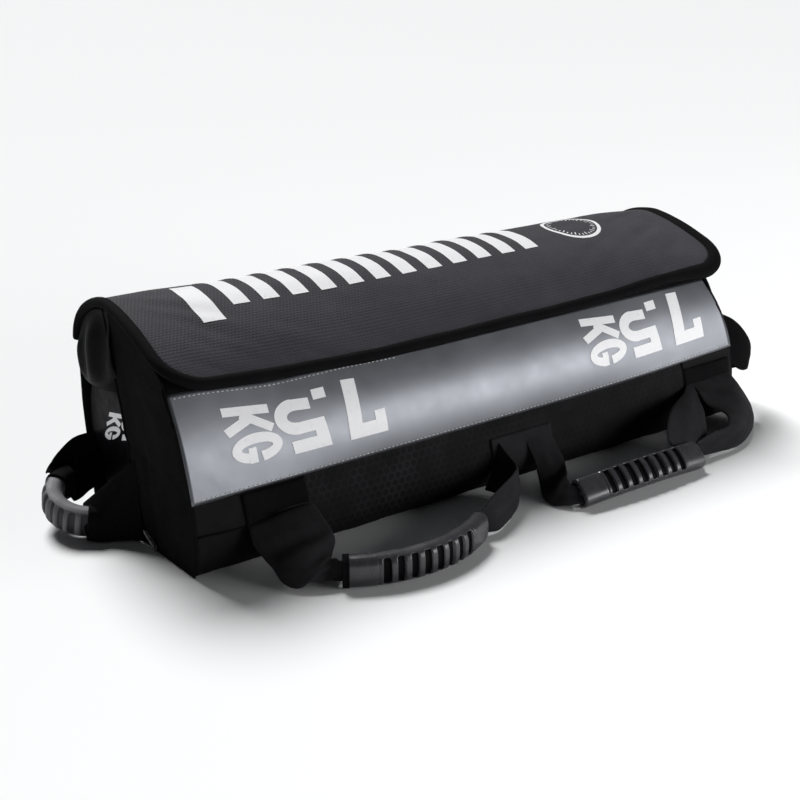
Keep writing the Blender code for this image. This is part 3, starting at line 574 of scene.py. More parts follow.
# %% [markdown]
# ## The padded lid
# The lid is two cloths with a thin foam between them, sewn round the edge. A flat slab would look like
# board. So it is cut as a thin closed shell with round front corners, and a short cloth simulation with
# a little air pressure swells it while its sewn margin is held. How far a point may move is capped, so
# the panel stays a panel. The result is written into the mesh and no simulation is left on the piece.

# %% Swelling a padded piece
def swell(piece, pressure, cap, held=None, frames=14):
    """Blow a closed mesh up a little with Cloth, and keep what it gave."""
    scene = bpy.context.scene
    before = [v.co.copy() for v in piece.data.vertices]
    air = piece.modifiers.new("air", 'CLOTH')
    air.settings.use_pressure = True
    air.settings.uniform_pressure_force = pressure
    air.settings.effector_weights.gravity = 0.0
    air.settings.quality = 5
    air.settings.mass = 0.3
    if held:
        group = piece.vertex_groups.new(name="sewn")
        group.add(held, 1.0, 'REPLACE')
        air.settings.vertex_group_mass = "sewn"
    for number in range(1, frames + 1):
        scene.frame_set(number)
    solved = piece.evaluated_get(bpy.context.evaluated_depsgraph_get())
    after = [v.co.copy() for v in solved.to_mesh().vertices]
    solved.to_mesh_clear()
    piece.modifiers.remove(air)
    piece.vertex_groups.clear()
    scene.frame_set(1)
    most = 0.0
    for vert, old, new in zip(piece.data.vertices, before, after):
        move = new - old
        if move.length > cap:
            move *= cap / move.length
        vert.co = old + move
        most = max(most, move.length)
    print("%s swelled by up to %.1f mm" % (piece.name, most * 1000))
    return piece


# %% The lid panel
lid_corner, lid_low, lid_high = 0.034, -half + 0.0028, half + 0.0106
corner_share = 0.20


def lid_inset(run):
    """How far the round corner takes the side edge in, at a running length from the front edge."""
    near = min(max(run, 0.0), lid_corner)
    return lid_corner - sqrt(lid_corner ** 2 - (lid_corner - near) ** 2)


def lid_spot(x, run, lift=0.0):
    return Vector((x, *lid_line(key(x)).at(run, lift)))


def lid_place(u, v):
    turn = pi / 2 * v / corner_share
    run = lid_corner * (1 - cos(turn)) if v < corner_share else lid_corner
    low, high = lid_low + lid_inset(run), lid_high - lid_inset(run)
    x = low + (high - low) * u
    if v > corner_share:
        run += (lid_line(key(x)).length - 0.0008 - lid_corner) * (v - corner_share) / (1 - corner_share)
    return lid_spot(x, run, -0.0008)


def lid_wave(u, v):
    return 0.0010 * ripple(u * 0.63, v * 0.2, 0.075, 9) + 0.0004 * ripple(u * 0.63, v * 0.2, 0.02, 10)


bm = grid(132, 46, lid_place, (lid_high - lid_low, 0.206), lid_wave)
margin = 0.010
bmesh.ops.solidify(bm, geom=bm.faces[:], thickness=0.0048)
bmesh.ops.remove_doubles(bm, verts=bm.verts[:], dist=0.00001)
lid = keep("lid", bm, lid_cloth, "lid", "lid_cloth")
print("lid shell", len(lid.data.vertices), "points")

# %% Hold its sewn margin and swell it
def near_lid_edge(point):
    """Whether a point of the lid lies in the sewn margin or on the hinge seam."""
    line = lid_line(key(point.x))
    flat = Vector((point.y, point.z))
    run = min(range(0, len(line.points), 1), key=lambda i: (line.points[i] - flat).length_squared)
    run = line.runs[run]
    inset = lid_inset(run)
    return (run < margin or run > line.length - margin or point.x < lid_low + inset + margin
            or point.x > lid_high - inset - margin)


held = [v.index for v in lid.data.vertices if near_lid_edge(v.co)]
swell(lid, 3.0, 0.0016, held)
refine(lid)
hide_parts("lid_panel")
print("sewn margin holds", len(held), "points")

# %% [markdown]
# ## The binding
# A cloth tape is folded round the lid's raw edge and sewn through, which gives the dark roll along its
# sides and front. A circle of points is extruded step by step along the edge. It isn't quite round: the
# tape is flatter against the lid, and the pull of its stitches makes it swell and pinch a little.

# %% A roll that is extruded along a route
def extrude_along(name, route, section, closed_ends=True, around=12):
    """Extrude a ring of points along a route; section(i) gives the ring's places there."""
    bm = bmesh.new()
    uv = bm.loops.layers.uv.new("cloth")
    start = bmesh.ops.create_circle(bm, cap_ends=False, segments=around, radius=0.01)["verts"]
    start.sort(key=lambda v: v.index)
    rings = [start]
    edges = bm.edges[:]
    assert len(section(0)) == around, name + " needs as many places as its ring has points"
    for vert, spot in zip(start, section(0)):
        vert.co = spot
    for i in range(1, len(route)):
        made = bmesh.ops.extrude_edge_only(bm, edges=edges)["geom"]
        new = [g for g in made if isinstance(g, bmesh.types.BMVert)]
        edges = [g for g in made if isinstance(g, bmesh.types.BMEdge)
                 and g.verts[0] in new and g.verts[1] in new]
        ring = []
        for vert in rings[-1]:
            ring.append(next(e.other_vert(vert) for e in vert.link_edges if e.other_vert(vert) in new))
        for vert, spot in zip(ring, section(i)):
            vert.co = spot
        rings.append(ring)
    run = [0.0]
    for before, after in zip(route, route[1:]):
        run.append(run[-1] + (after - before).length)
    where = {v: (j, run[i]) for i, ring in enumerate(rings) for j, v in enumerate(ring)}
    girth = sum((rings[0][j].co - rings[0][j - 1].co).length for j in range(around))
    for face in bm.faces:
        wraps = max(where[v][0] for v in face.verts) - min(where[v][0] for v in face.verts) > around / 2
        for loop in face.loops:
            j, along = where[loop.vert]
            j = around if wraps and j == 0 else j
            loop[uv].uv = (girth * j / around, along)
    if closed_ends:
        for ring in (rings[0], rings[-1]):
            bm.faces.new(ring)
    bmesh.ops.recalc_face_normals(bm, faces=bm.faces[:])
    return bm


def roll(route, outs, thick, wide, around=12):
    """Rings for a flattened roll: outs are unit vectors that point off the cloth."""
    def section(i):
        along = (route[min(i + 1, len(route) - 1)] - route[max(i - 1, 0)]).normalized()
        out = (outs[i] - along * outs[i].dot(along)).normalized()
        side = along.cross(out)
        broad = wide(route[i].x) if callable(wide) else wide
        swell_here = 1 + 0.05 * noise.noise(route[i] / 0.011) + 0.04 * noise.noise(route[i] / 0.03)
        turns = [tau * j / around for j in range(around)]
        return [route[i] + (out * cos(turn) * thick + side * sin(turn) * broad) * swell_here
                for turn in turns]
    return section


print("rolls can be extruded")

# %% The lid's binding
def lid_edge_route(out, depth, step=0.005):
    """Places and outward directions along the lid's two sides and its front edge."""
    places, outs = [], []

    def add(x, run):
        spot = lid_spot(x, run, depth)
        places.append(spot)
        outs.append((lid_spot(x, run, depth + 0.004) - spot).normalized())

    for side, edge in ((-1, lid_low), (1, lid_high)):
        total = lid_line(key(edge)).length - 0.004
        count = int((total - lid_corner) / step)
        half_route = [(edge + side * out, total - (total - lid_corner) * i / count) for i in range(count)]
        for i in range(13):
            turn = pi / 2 * i / 12
            half_route.append((edge - side * lid_corner + side * (lid_corner + out) * cos(turn),
                               lid_corner - (lid_corner + out) * sin(turn)))
        if side < 0:
            for spot in half_route:
                add(*spot)
            low = half_route[-1][0]
            flat = (lid_high - lid_corner) - low
            for i in range(1, int(flat / step)):
                add(low + flat * i / int(flat / step), -out)
        else:
            for spot in reversed(half_route):
                add(*spot)
    return places, outs


route, outs = lid_edge_route(0.0030, -0.0032)
binding_sides = 16
binding_section = roll(route, outs, 0.0046, lambda x: 0.0058 + 0.0030 * ease(0.24, 0.31, x), binding_sides)
binding = keep("lid_binding", extrude_along("binding", route, binding_section, around=binding_sides),
               binding_cloth, "lid", "binding_cloth")
refine(binding)
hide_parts("lid_piping")
print("binding runs %.0f mm" % (1000 * sum((b - a).length for a, b in zip(route, route[1:]))))

# %% [markdown]
# ## Stitches
# Sewing is what makes cloth believable close up. One stitch is a tiny rounded grain, and a seam repeats
# it hundreds of times, so each grain is a low icosphere that is stretched along the seam and half sunk
# into the cloth.

# %% Rows of stitches
def skin_of(piece):
    """The outer skin of a finished piece, for laying prints and stitches on it."""
    return BVHTree.FromObject(piece, bpy.context.evaluated_depsgraph_get())


def landed(skin, spot, out, lift):
    """Where a thing above the skin lands on it, or None when it would miss."""
    hit = skin.ray_cast(spot + out * 0.010, -out, 0.020)[0]
    return hit + out * lift if hit else None


def stitch_row(name, places, outs, pitch, size, look, body, slot_name=None):
    """Stitches of (length, width, height) along a row of places."""
    bm = bmesh.new()
    runs = [0.0]
    for before, after in zip(places, places[1:]):
        runs.append(runs[-1] + (after - before).length)
    count = max(int(runs[-1] / pitch), 1)
    for k in range(count):
        run = runs[-1] * (k + 0.5) / count
        i = min(max(bisect_right(runs, run), 1), len(places) - 1)
        share = (run - runs[i - 1]) / max(runs[i] - runs[i - 1], 1e-9)
        spot = places[i - 1].lerp(places[i], share)
        along = (places[i] - places[i - 1]).normalized()
        out = outs[i - 1].lerp(outs[i], share)
        out = (out - along * out.dot(along)).normalized()
        made = bmesh.ops.create_icosphere(bm, subdivisions=1, radius=0.5)["verts"]
        turn = Matrix((along * size[0], out.cross(along) * size[1], out * size[2])).transposed().to_4x4()
        bmesh.ops.transform(bm, matrix=Matrix.Translation(spot) @ turn, verts=made)
    return keep(name, bm, look, body, slot_name)


places, outs = lid_edge_route(-0.0042, 0.0016)
skin = skin_of(binding)
landings = [(landed(skin, spot, out, 0.0002), out) for spot, out in zip(places, outs)]
landings = [(spot, out) for spot, out in landings if spot]
places, outs = [spot for spot, out in landings], [out for spot, out in landings]
stitch_row("binding_stitches", places, outs, 0.0042, (0.0026, 0.0009, 0.0008), black_thread, "lid")
for name, run_share, tone in (("label_foot_stitches", 0.0034, grey_thread), ):
    xs = [-half + 0.004 + (2 * half - 0.008) * i / 160 for i in range(161)]
    places = [label_spot(x, run_share, 0.0002) for x in xs]
    outs = [(label_spot(x, run_share, 0.004) - p).normalized() for x, p in zip(xs, places)]
    stitch_row(name, places, outs, 0.0044, (0.0029, 0.0011, 0.0009), tone, "jacket")
xs = [-half + 0.004 + 0.22 * i / 60 for i in range(61)]
places = [label_spot(x, label_line(key(x)).length - 0.0042, 0.0002) for x in xs]
outs = [(label_spot(x, label_line(key(x)).length - 0.0042, 0.004) - p).normalized()
        for x, p in zip(xs, places)]
stitch_row("label_head_stitches", places, outs, 0.0044, (0.0029, 0.0011, 0.0009), grey_thread, "jacket")
print("three seams are sewn")

# %% [markdown]
# ## The filled core and its end discs
# The weight is a tube of heavy cloth, filled hard, with a round printed disc sewn in at each end. The
# tube starts as a cone with equal ends, cut into rings, and a little air pressure rounds it. Only its
# left end shows, in the gap behind the end panel, but it is there all along when the lid is opened.

# %% The core's tube
core_y, core_z = 0.0139, 0.0858
core_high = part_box("core_drum")[1]
bm = bmesh.new()
core_radius = 0.0808
bmesh.ops.create_cone(bm, cap_ends=True, segments=64, radius1=core_radius, radius2=core_radius,
                      depth=2 * core_high.x - 0.002)
caps = [f for f in bm.faces if len(f.verts) > 4]
bmesh.ops.inset_region(bm, faces=caps, thickness=0.012)
outer = [e for e in bm.edges if all(abs(hypot(v.co.x, v.co.y) - core_radius) < 1e-4 for v in e.verts)
         and abs(e.verts[0].co.z - e.verts[1].co.z) < 1e-6]
bmesh.ops.bevel(bm, geom=outer, offset=0.007, segments=3, profile=0.5, affect='EDGES', material=-1)
for k in range(-40, 41):
    bmesh.ops.bisect_plane(bm, geom=bm.verts[:] + bm.edges[:] + bm.faces[:], plane_co=(0, 0, k * 0.0074),
                           plane_no=(0, 0, 1))
bmesh.ops.rotate(bm, verts=bm.verts[:], cent=(0, 0, 0), matrix=Matrix.Rotation(pi / 2, 3, 'Y'))
bmesh.ops.translate(bm, verts=bm.verts[:], vec=(0, core_y, core_z))
bmesh.ops.recalc_face_normals(bm, faces=bm.faces[:])
bm.normal_update()
for vert in bm.verts:
    if abs(vert.co.x) < 0.30:
        around_it = vert.normal.y * 0.09 + vert.normal.z * 0.05
        vert.co += vert.normal * (0.0006 * ripple(vert.co.x, around_it, 0.04, 11))
core = keep("core", bm, core_cloth_plain, "jacket", "core_cloth")
swell(core, 2.0, 0.0011, [v.index for v in core.data.vertices if abs(v.co.x) > 0.302], 10)
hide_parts("core_drum")
print("core", len(core.data.vertices), "points")

# %% The end discs, with their weight figures
def bar(bm, start, end, width, lay, step=0.003):
    """A straight stroke of a figure, laid on a surface by lay(x, y)."""
    start, end = Vector(start), Vector(end)
    along = end - start
    side = Vector((-along.y, along.x)).normalized() * width
    made = bmesh.ops.create_grid(bm, x_segments=max(round(along.length / step), 1),
                                 y_segments=max(round(width / step), 1), size=0.5)["verts"]
    for vert in made:
        spot = start + along * (vert.co.x + 0.5) + side * vert.co.y
        vert.co = lay(spot.x, spot.y)


def bowl(bm, centre, reach, first, last, width, lay, step=0.003):
    """A bent stroke: part of an oval between two angles in degrees."""
    first, last = first * pi / 180, last * pi / 180
    count = max(round(abs(last - first) * max(reach) / step), 6)
    made = bmesh.ops.create_grid(bm, x_segments=count, y_segments=max(round(width / step), 1),
                                 size=0.5)["verts"]
    for vert in made:
        turn = first + (last - first) * (vert.co.x + 0.5)
        spot = Vector(centre) + Vector((cos(turn) * (reach[0] + vert.co.y * width),
                                        sin(turn) * (reach[1] + vert.co.y * width)))
        vert.co = lay(spot.x, spot.y)


figure_bars = {"7": (((0, 46), (39, 46), 12), ((0, 36), (11, 36), 8), ((32, 41), (29, 0), 14)),
               ".": (((0, 5), (13, 5), 9),),
               "5": (((0, 46), (37, 46), 12), ((6, 41), (6, 23.5), 12), ((12, 29), (26, 29), 11),
                     ((9, 8.0), (27.5, 6), 11)),
               "K": (((4.5, 0), (4.5, 45), 9), ((8, 17), (24, 45), 9), ((12, 26), (26, 0), 9)),
               "G": (((11, 18), (24, 18), 7),)}
figure_bowls = {"5": (((26, 17.5), (14, 11.5), -90, 90, 11.7),),
                "G": (((12, 22.5), (8, 18), 10, 340, 8.5),)}


def figure(bm, name, lay):
    """One block figure drawn in millimetres from its lower left corner."""
    for start, end, width in figure_bars[name]:
        bar(bm, start, end, width, lay, 3)
    for centre, reach, first, last, width in figure_bowls.get(name, ()):
        bowl(bm, centre, reach, first, last, width, lay, 3)


def printed(name, bm, body, out, look=None):
    """Turn a print's faces outward and keep it."""
    bm.normal_update()
    back = [f for f in bm.faces if f.normal.dot(out(f.calc_center_median())) < 0]
    bmesh.ops.reverse_faces(bm, faces=back)
    return keep(name, bm, look or ink, body)


weight_block = (("K", lambda x, y: (0.96 * y, 72 - 0.84 * x - 0.12 * y)),
                ("G", lambda x, y: (1 + 1.08 * y, 45.5 - x)),
                ("7", lambda x, y: (154 - x, 71 - y)), (".", lambda x, y: (100 - x, 70 - y)),
                ("5", lambda x, y: (96 - x - 0.11 * (50 - y), 66 - 0.89 * y)))


def weight_mark(bm, lay):
    """The stacked weight figures; lay(x, y) takes millimetres right of and above the block's corner."""
    for name, turned in weight_block:
        figure(bm, name, lambda x, y, turned=turned: lay(*turned(x, y)))


for side, word in ((-1, "left"), (1, "right")):
    bm = bmesh.new()
    made = bmesh.ops.create_circle(bm, cap_ends=True, segments=72, radius=0.0790)
    face = bm.faces[:]
    for width in (0.0012, 0.0016, 0.0022, 0.012, 0.016, 0.016, 0.014):
        bmesh.ops.inset_region(bm, faces=face, thickness=width)
    for vert in bm.verts:
        far = hypot(vert.co.x, vert.co.y)
        vert.co.z = 0.0032 * (1 - ease(0.0745, 0.0800, far)) + 0.0012 * (1 - ease(0.02, 0.072, far))
    ring = [e for e in bm.edges if e.is_boundary]
    lip = bmesh.ops.extrude_edge_only(bm, edges=ring)["geom"]
    for vert in (g for g in lip if isinstance(g, bmesh.types.BMVert)):
        vert.co.z -= 0.0012
    bmesh.ops.rotate(bm, verts=bm.verts[:], cent=(0, 0, 0), matrix=Matrix.Rotation(side * pi / 2, 3, 'Y'))
    bmesh.ops.translate(bm, verts=bm.verts[:], vec=(side * 0.3102, core_y, core_z))
    bmesh.ops.recalc_face_normals(bm, faces=bm.faces[:])
    if sum(f.normal.x for f in bm.faces) * side < 0:
        bmesh.ops.reverse_faces(bm, faces=bm.faces[:])
    disc = keep("core_disc_" + word + "_vinyl", bm, core_vinyl, "jacket", "core_vinyl")
    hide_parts("core_disc_" + word)

    def on_disc(x, y, side=side):
        spot = Vector((0.0462 - 0.00064 * x - 0.00034 * (y - 74), 0.1050 + 0.000216 * x + 0.00062 * (y - 74)))
        if side > 0:
            spot.x = 2 * core_y - spot.x
        far = hypot(spot.x - core_y, spot.y - core_z)
        rise = (0.3102 + 0.0032 * (1 - ease(0.0745, 0.0800, far))
                + 0.0012 * (1 - ease(0.02, 0.072, far)) + 0.00025)
        return Vector((side * rise, spot.x, spot.y))

    bm = bmesh.new()
    weight_mark(bm, on_disc)
    past_disc = [v for v in bm.verts if hypot(v.co.y - core_y, v.co.z - core_z) > 0.073]
    bmesh.ops.delete(bm, geom=past_disc, context='VERTS')
    printed("disc_figures_" + word, bm, "jacket", lambda spot, side=side: Vector((side, 0, 0)))
print("two discs with plain weight figures")

# %% [markdown]
# ## The ends of the jacket
# Each end is closed in front by a panel with a free curved hem, and behind it by a soft folded gusset
# over the core. Such a panel has four edges that are known, and cloth between them that isn't. A patch
# that blends its four edges gives that cloth, and creases and sag are then added square to it.

# %% Patches between four edges
def patch(columns, rows, left, right, bottom, top, depth, size):
    """A sheet in an end's plane between four lines; depth(u, v, spot) gives its distance outward."""
    corners = (left.spot(0), left.spot(left.length), right.spot(0), right.spot(right.length))

    def place(u, v):
        spot = (left.spot(left.length * v) * (1 - u) + right.spot(right.length * v) * u
                + bottom.spot(bottom.length * u) * (1 - v) + top.spot(top.length * u) * v
                - corners[0] * (1 - u) * (1 - v) - corners[1] * (1 - u) * v
                - corners[2] * u * (1 - v) - corners[3] * u * v)
        return Vector((depth(u, v, spot), spot.x, spot.y))
    return grid(columns, rows, place, size)


def under_lid(x, start_y, end_y, depth=0.0085):
    """A line under the lid between two places from front to back."""
    line = lid_line(key(x))
    runs = [line.length * i / 200 for i in range(201)]
    spots = [line.at(r, -depth) for r in runs]
    inside = [s for s in spots if min(start_y, end_y) <= s.x <= max(start_y, end_y)]
    return Line(inside)


def end_edges(x):
    """Front, hem, floor and top edges of an end panel."""
    front, face = front_line(key(x)), label_line(key(x))
    rising = [p for p in reversed(front.points) if p.x < -0.05 and p.y < 0.062]
    head = face.points[2:]
    front_edge = Line([Vector((-0.0905, 0.0006))] + [p for p in rising if p.y > 0.002] + head)
    top = under_lid(x, front_edge.points[-1].x + 0.002, 0.046)
    hem_top = top.points[-1]
    hem = Line(bend((-0.004, 0.0006), (0.006, 0.045), (0.010, 0.075), (0.0155, 0.100), 20)[:-1]
               + bend((0.0155, 0.100), (0.0215, 0.128), (0.031, 0.150), hem_top, 20))
    foot = Line([front_edge.points[0], hem.points[0]])
    return front_edge, hem, foot, Line([front_edge.points[-1]] + top.points)


def crease(value, place, width):
    """A soft fold across a sheet: 1 on the line and 0 beyond its width."""
    return max(0.0, 1 - abs(value - place) / width) ** 1.6


for side, word in ((-1, "left"), (1, "right")):
    front_edge, hem, foot, top = end_edges(side * half)

    def depth(u, v, spot, side=side):
        bulge = 0.0030 * sin(pi * u) * sin(pi * min(v * 1.15, 1.0))
        dents = (0.0013 * ripple(u * 0.1, v * 0.19, 0.045, 12 + side)
                 + 0.0005 * ripple(u * 0.1, v * 0.19, 0.016, 14 + side))
        fold = (-0.0022 * crease(u, 0.74 - 0.10 * v, 0.09) * ease(0.55, 0.35, v)
                - 0.0016 * crease(v, 0.43, 0.05) * ease(0.2, 0.9, u))
        free = 0.0016 * ease(0.8, 1.0, u) * sin(pi * v)
        edge = ease(0.0, 0.10, u) * ease(0.0, 0.05, v)
        off_core = ease(0.080, 0.088, hypot(spot.x - core_y, spot.y - core_z)) * ease(0.0, -0.02, spot.x)
        inward = (lean(spot.y) + 0.0034 * ease(0.09, 0.125, spot.y)) * off_core if side > 0 else 0.0
        return side * (half + 0.0016 + (bulge + dents + fold) * edge + free - inward)

    bm = patch(44, 76, front_edge, hem, foot, top, depth, (0.10, 0.19))
    panel = keep("end_panel_" + word + "_cloth", bm, black_cloth, "jacket", "black_cloth", flip=side > 0)
    if side * sum(p.normal.x * p.area for p in panel.data.polygons) < 0:
        panel.data.flip_normals()
    thicken(panel, 0.0016)
    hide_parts("end_panel_" + word)
    hem_spots = [hem.spot(hem.length * i / 60) for i in range(61)]
    hem_route = [Vector((depth(1.0, i / 60, spot), *spot)) for i, spot in enumerate(hem_spots)]
    hem_outs = [Vector((side, 0.35, 0)).normalized()] * 61
    hem_section = roll(hem_route, hem_outs, 0.0014, 0.0016, 8)
    keep("end_hem_" + word, extrude_along("hem", hem_route, hem_section, around=8),
         black_cloth, "jacket", "black_cloth")

# %% The gusset folds above the core
for side, word in ((-1, "left"), (1, "right")):
    x = side * half
    top = under_lid(x, 0.036, 0.0955, 0.0080)
    hem_foot = Vector((0.0205, 0.136))
    low = Line(bend(hem_foot, (0.038, 0.122), (0.066, 0.114), (0.0865, 0.121), 24))
    front_edge = Line(bend(hem_foot, (0.025, 0.152), (0.030, 0.168), top.points[0], 12))
    rear = Line(bend(low.points[-1], (0.0945, 0.134), (0.0955, 0.150), top.points[-1], 12))

    def pillow(u, v, spot, side=side):
        swell_out = 0.0072 * sin(pi * min(u * 0.96 + 0.04, 1.0)) ** 0.7 * ease(1.0, 0.55, v) ** 0.6
        roll_in = 0.0090 * (1 - ease(0.0, 0.16, v)) ** 1.5
        pleats = 0.0026 * sin(tau * (u * 2.1 + v * 0.6)) * ease(0.05, 0.35, v) * ease(1.0, 0.7, v)
        dents = 0.0010 * ripple(u * 0.07, v * 0.06, 0.018, 16 + side)
        return side * (half + 0.0020 + max(swell_out + pleats + dents, -0.001) - roll_in)

    bm = patch(36, 30, front_edge, rear, low, top, pillow, (0.075, 0.07))
    fold = keep("end_fold_" + word + "_cloth", bm, core_cloth, "jacket", "core_cloth")
    if sum(p.normal.x * p.area for p in fold.data.polygons) * side < 0:
        fold.data.flip_normals()
    thicken(fold, 0.0014)
    refine(fold)
    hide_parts("end_fold_" + word)

# %% [markdown]
# ## Prints
# Screen print lies on the cloth as a thin film with hard edges. The weight is printed twice on the label,
# upside down, so that it reads from above. Every stroke of a figure is a grid that is laid on the label by
# running length, a quarter of a millimetre proud, so it bends with the panel. The lid carries plain
# shapes: a row of bars that runs over the ridge, a ring with ticks and a plain block.

# %% The label's figures and the lid's plain shapes
for name, start in (("left", -0.270), ("right", 0.124)):
    bm = bmesh.new()
    weight_mark(bm, lambda x, y: label_spot(start + x / 1000, y / 1000, 0.0003))
    printed("label_figures_" + name, bm, "jacket", lambda spot: Vector((0, -1, 0.3)))


lid_skin = skin_of(lid)


def on_lid(x, run):
    plain = lid_spot(x, run)
    out = (lid_spot(x, run, 0.004) - plain).normalized()
    return landed(lid_skin, plain, out, 0.0003) or lid_spot(x, run, 0.0003)


def off_lid(spot):
    return Vector((0, -0.4 if spot.y < 0.044 else 0.4, 1))


bm = bmesh.new()
for k in range(12):
    bar(bm, (-0.206 + 0.0298 * k, 0.0765), (-0.206 + 0.0298 * k, 0.154), 0.0165, on_lid)
printed("lid_bars", bm, "lid", off_lid)
bm = bmesh.new()
bowl(bm, (0.198, 0.104), (0.0295, 0.0295), 0, 360, 0.0040, on_lid, 0.002)
for k in range(36):
    way = Vector((cos(tau * k / 36), sin(tau * k / 36)))
    length = 0.0050 if k % 3 == 0 else 0.0028
    bar(bm, Vector((0.198, 0.104)) + way * 0.0255, Vector((0.198, 0.104)) + way * (0.0255 - length),
        0.0011, on_lid, 0.0015)
printed("lid_ring", bm, "lid", off_lid)
bm = bmesh.new()
bar(bm, (-0.241, 0.060), (-0.241, 0.122), 0.0215, on_lid)
printed("lid_block", bm, "lid", off_lid)
print("label and lid are printed")


# %% [markdown]
# ## The moulded grips
# A grip is a rubber sleeve on a steady bend, flat-oval in section, with eight finger slots in a raised
# field. A ring of points is extruded round the bend, and where a slot lies its points go inward, so the
# slot's walls stay soft, as a mould leaves them. The ends are rolled over into the bore.

# %% One grip, in its own axes
def grip_frame(middle, run, bulge, half_angle, radius):
    """The grip's own axes: X from mouth to mouth, Y out of the bend, Z across."""
    along, out = Vector(run).normalized(), Vector(bulge)
    out = (out - along * out.dot(along)).normalized()
    axes = Matrix((along, out, along.cross(out))).transposed().to_4x4()
    axes.translation = Vector(middle) - out * radius * cos(half_angle)
    return axes


def oval(thick, wide, roundness, j, around):
    turn = tau * j / around
    out = abs(cos(turn)) ** (2 / roundness) * (1 if cos(turn) >= 0 else -1)
    up = abs(sin(turn)) ** (2 / roundness) * (1 if sin(turn) >= 0 else -1)
    return thick / 2 * out, wide / 2 * up


def slot_depth_at(along, up, pitch):
    """How deep a point of the hand side lies, and whether it is in a slot."""
    deepest = 0.0
    for k in range(8):
        centre = (k - 3.5) * pitch
        past = max(abs(along - centre) - 0.0018, 0.0)
        rise = max(abs(up) - 0.0098, 0.0)
        deepest = max(deepest, 1 - ease(0.0008, 0.0021, hypot(past, rise)))
    return deepest


def build_grip(name, node, body, axes, length, radius, pitch, around=72):
    half_angle = length / radius / 2
    outer = radius + 0.009
    step = 0.00062
    rows = [(-length / 2 + 0.012, None), (-length / 2 + 0.0004, None)]
    rows += [(-length / 2 + 0.0000, 0.0036), (-length / 2 - 0.0002, 0.0016), (-length / 2 + 0.0001, 0.0007),
             (-length / 2 + 0.0006, 0.0002), (-length / 2 + 0.0014, 0.0)]
    count = int((length - 0.0028) / step)
    middle_rows = [(-length / 2 + 0.0014 + (length - 0.0028) * i / count, 0.0) for i in range(1, count)]
    rows = rows + middle_rows + [(-s, d) for s, d in reversed(rows)]
    field = 4 * pitch + 0.0005
    deep_points = {}

    def ring(i):
        run, inset = rows[i]
        turn = run / radius
        points = []
        for j in range(around):
            if inset is None:
                out, up = oval(0.0044, 0.0214, 5.6, j, around)
            else:
                out, up = oval(0.018 - 2 * inset, 0.027 - 2 * inset, 2.8, j, around)
            slot = 0.0
            if inset == 0.0 and out > 0.003:
                arc = turn * outer
                inside = ease(0.0, 0.0014, field - abs(arc)) * ease(0.0, 0.0014, 0.0128 - abs(up))
                line = max(0.0, 1 - abs(min(field + 0.0006 - abs(arc), 0.0131 - abs(up))) / 0.0007)
                slot = slot_depth_at(arc, up, pitch) * ease(0.003, 0.005, out)
                out += 0.0005 * inside - 0.0004 * line - 0.0030 * slot
            elif inset == 0.0 and out < -0.003:
                out += 0.0003 * (1 - ease(0.0, 0.0007, abs(up)))
            deep_points[(i, j)] = slot
            points.append(axes @ Vector(((radius + out) * sin(turn), (radius + out) * cos(turn), up)))
        return points

    route = [axes @ Vector((radius * sin(s / radius), radius * cos(s / radius), 0)) for s, d in rows]
    bm = extrude_along(name, route, ring, closed_ends=False, around=around)
    grip = keep(name, bm, rubber_of[name], body, "rubber")
    lowest = axes.inverted()
    # Faces deep in a slot get the second material, a darker rubber: painted shade in the slots.
    for face in grip.data.polygons:
        spot = lowest @ face.center
        out = hypot(spot.x, spot.y) - radius
        turn = atan2(spot.x, spot.y)
        if out > 0.0 and slot_depth_at(turn * outer, spot.z, pitch) > 0.62:
            face.material_index = 1
    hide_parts(node)
    print(name, len(grip.data.polygons), "faces")
    return grip


# %% The four grips
front_left_axes = grip_frame((-0.153, -0.1725, 0.0139), (1, 0, 0), (0, -1, 0), 0.150 / 0.125 / 2, 0.125)
front_right_axes = grip_frame((0.108, -0.1725, 0.0129), (1, 0, 0), (0, -cos(0.78), sin(0.78)),
                              0.150 / 0.6 / 2, 0.6)
end_axes = {}
for side in (-1, 1):
    end_axes[side] = grip_frame((side * 0.3381, 0.057, 0.0235), (0, 0.0605, 0.016), (side, 0, 0),
                                0.092 / 0.0315 / 2, 0.0315)
# The end grips are the same rubber as the front grips, with painted light: their colour is made far lighter.
end_rubber_painted_light = moulded("end_rubber_painted_light", (0.110, 0.108, 0.117), (0.145, 0.142, 0.155), 0.55, gleam=0.3)
# The end grips' slots carry both: painted shade makes them darker than the end rubber, and painted light
# keeps them far lighter than the front grips' slots.
end_slot_painted_light_and_shade = moulded("end_slot_painted_light_and_shade", (0.040, 0.039, 0.043), (0.055, 0.054, 0.059), 0.60, gleam=0.2)
rubber_of = {"front_left_grip": [rubber, slot_painted_shade_rubber], "front_right_grip": [rubber, slot_painted_shade_rubber],
             "end_left_grip": [end_rubber_painted_light, end_slot_painted_light_and_shade], "end_right_grip": [end_rubber_painted_light, end_slot_painted_light_and_shade]}
build_grip("front_left_grip", "grip_front_left", "handle_front_left", front_left_axes, 0.150, 0.125, 0.0125)
build_grip("front_right_grip", "grip_front_right", "handle_front_right", front_right_axes,
           0.150, 0.600, 0.0125)
for side, word in ((-1, "left"), (1, "right")):
    build_grip("end_%s_grip" % word, "grip_end_" + word, "handle_end_" + word, end_axes[side],
               0.092, 0.0315, 0.0115)

# %% [markdown]
# ## Straps and wings
# A strap is a band that leaves a seam, falls to the floor, stands on its edge and goes into a grip. Its
# two edges are drawn as rungs from the seam to the grip, with a bow for how much the cloth between them
# swells. A smooth curve through the rungs then lays the grid, and a fold or two is pressed into it.

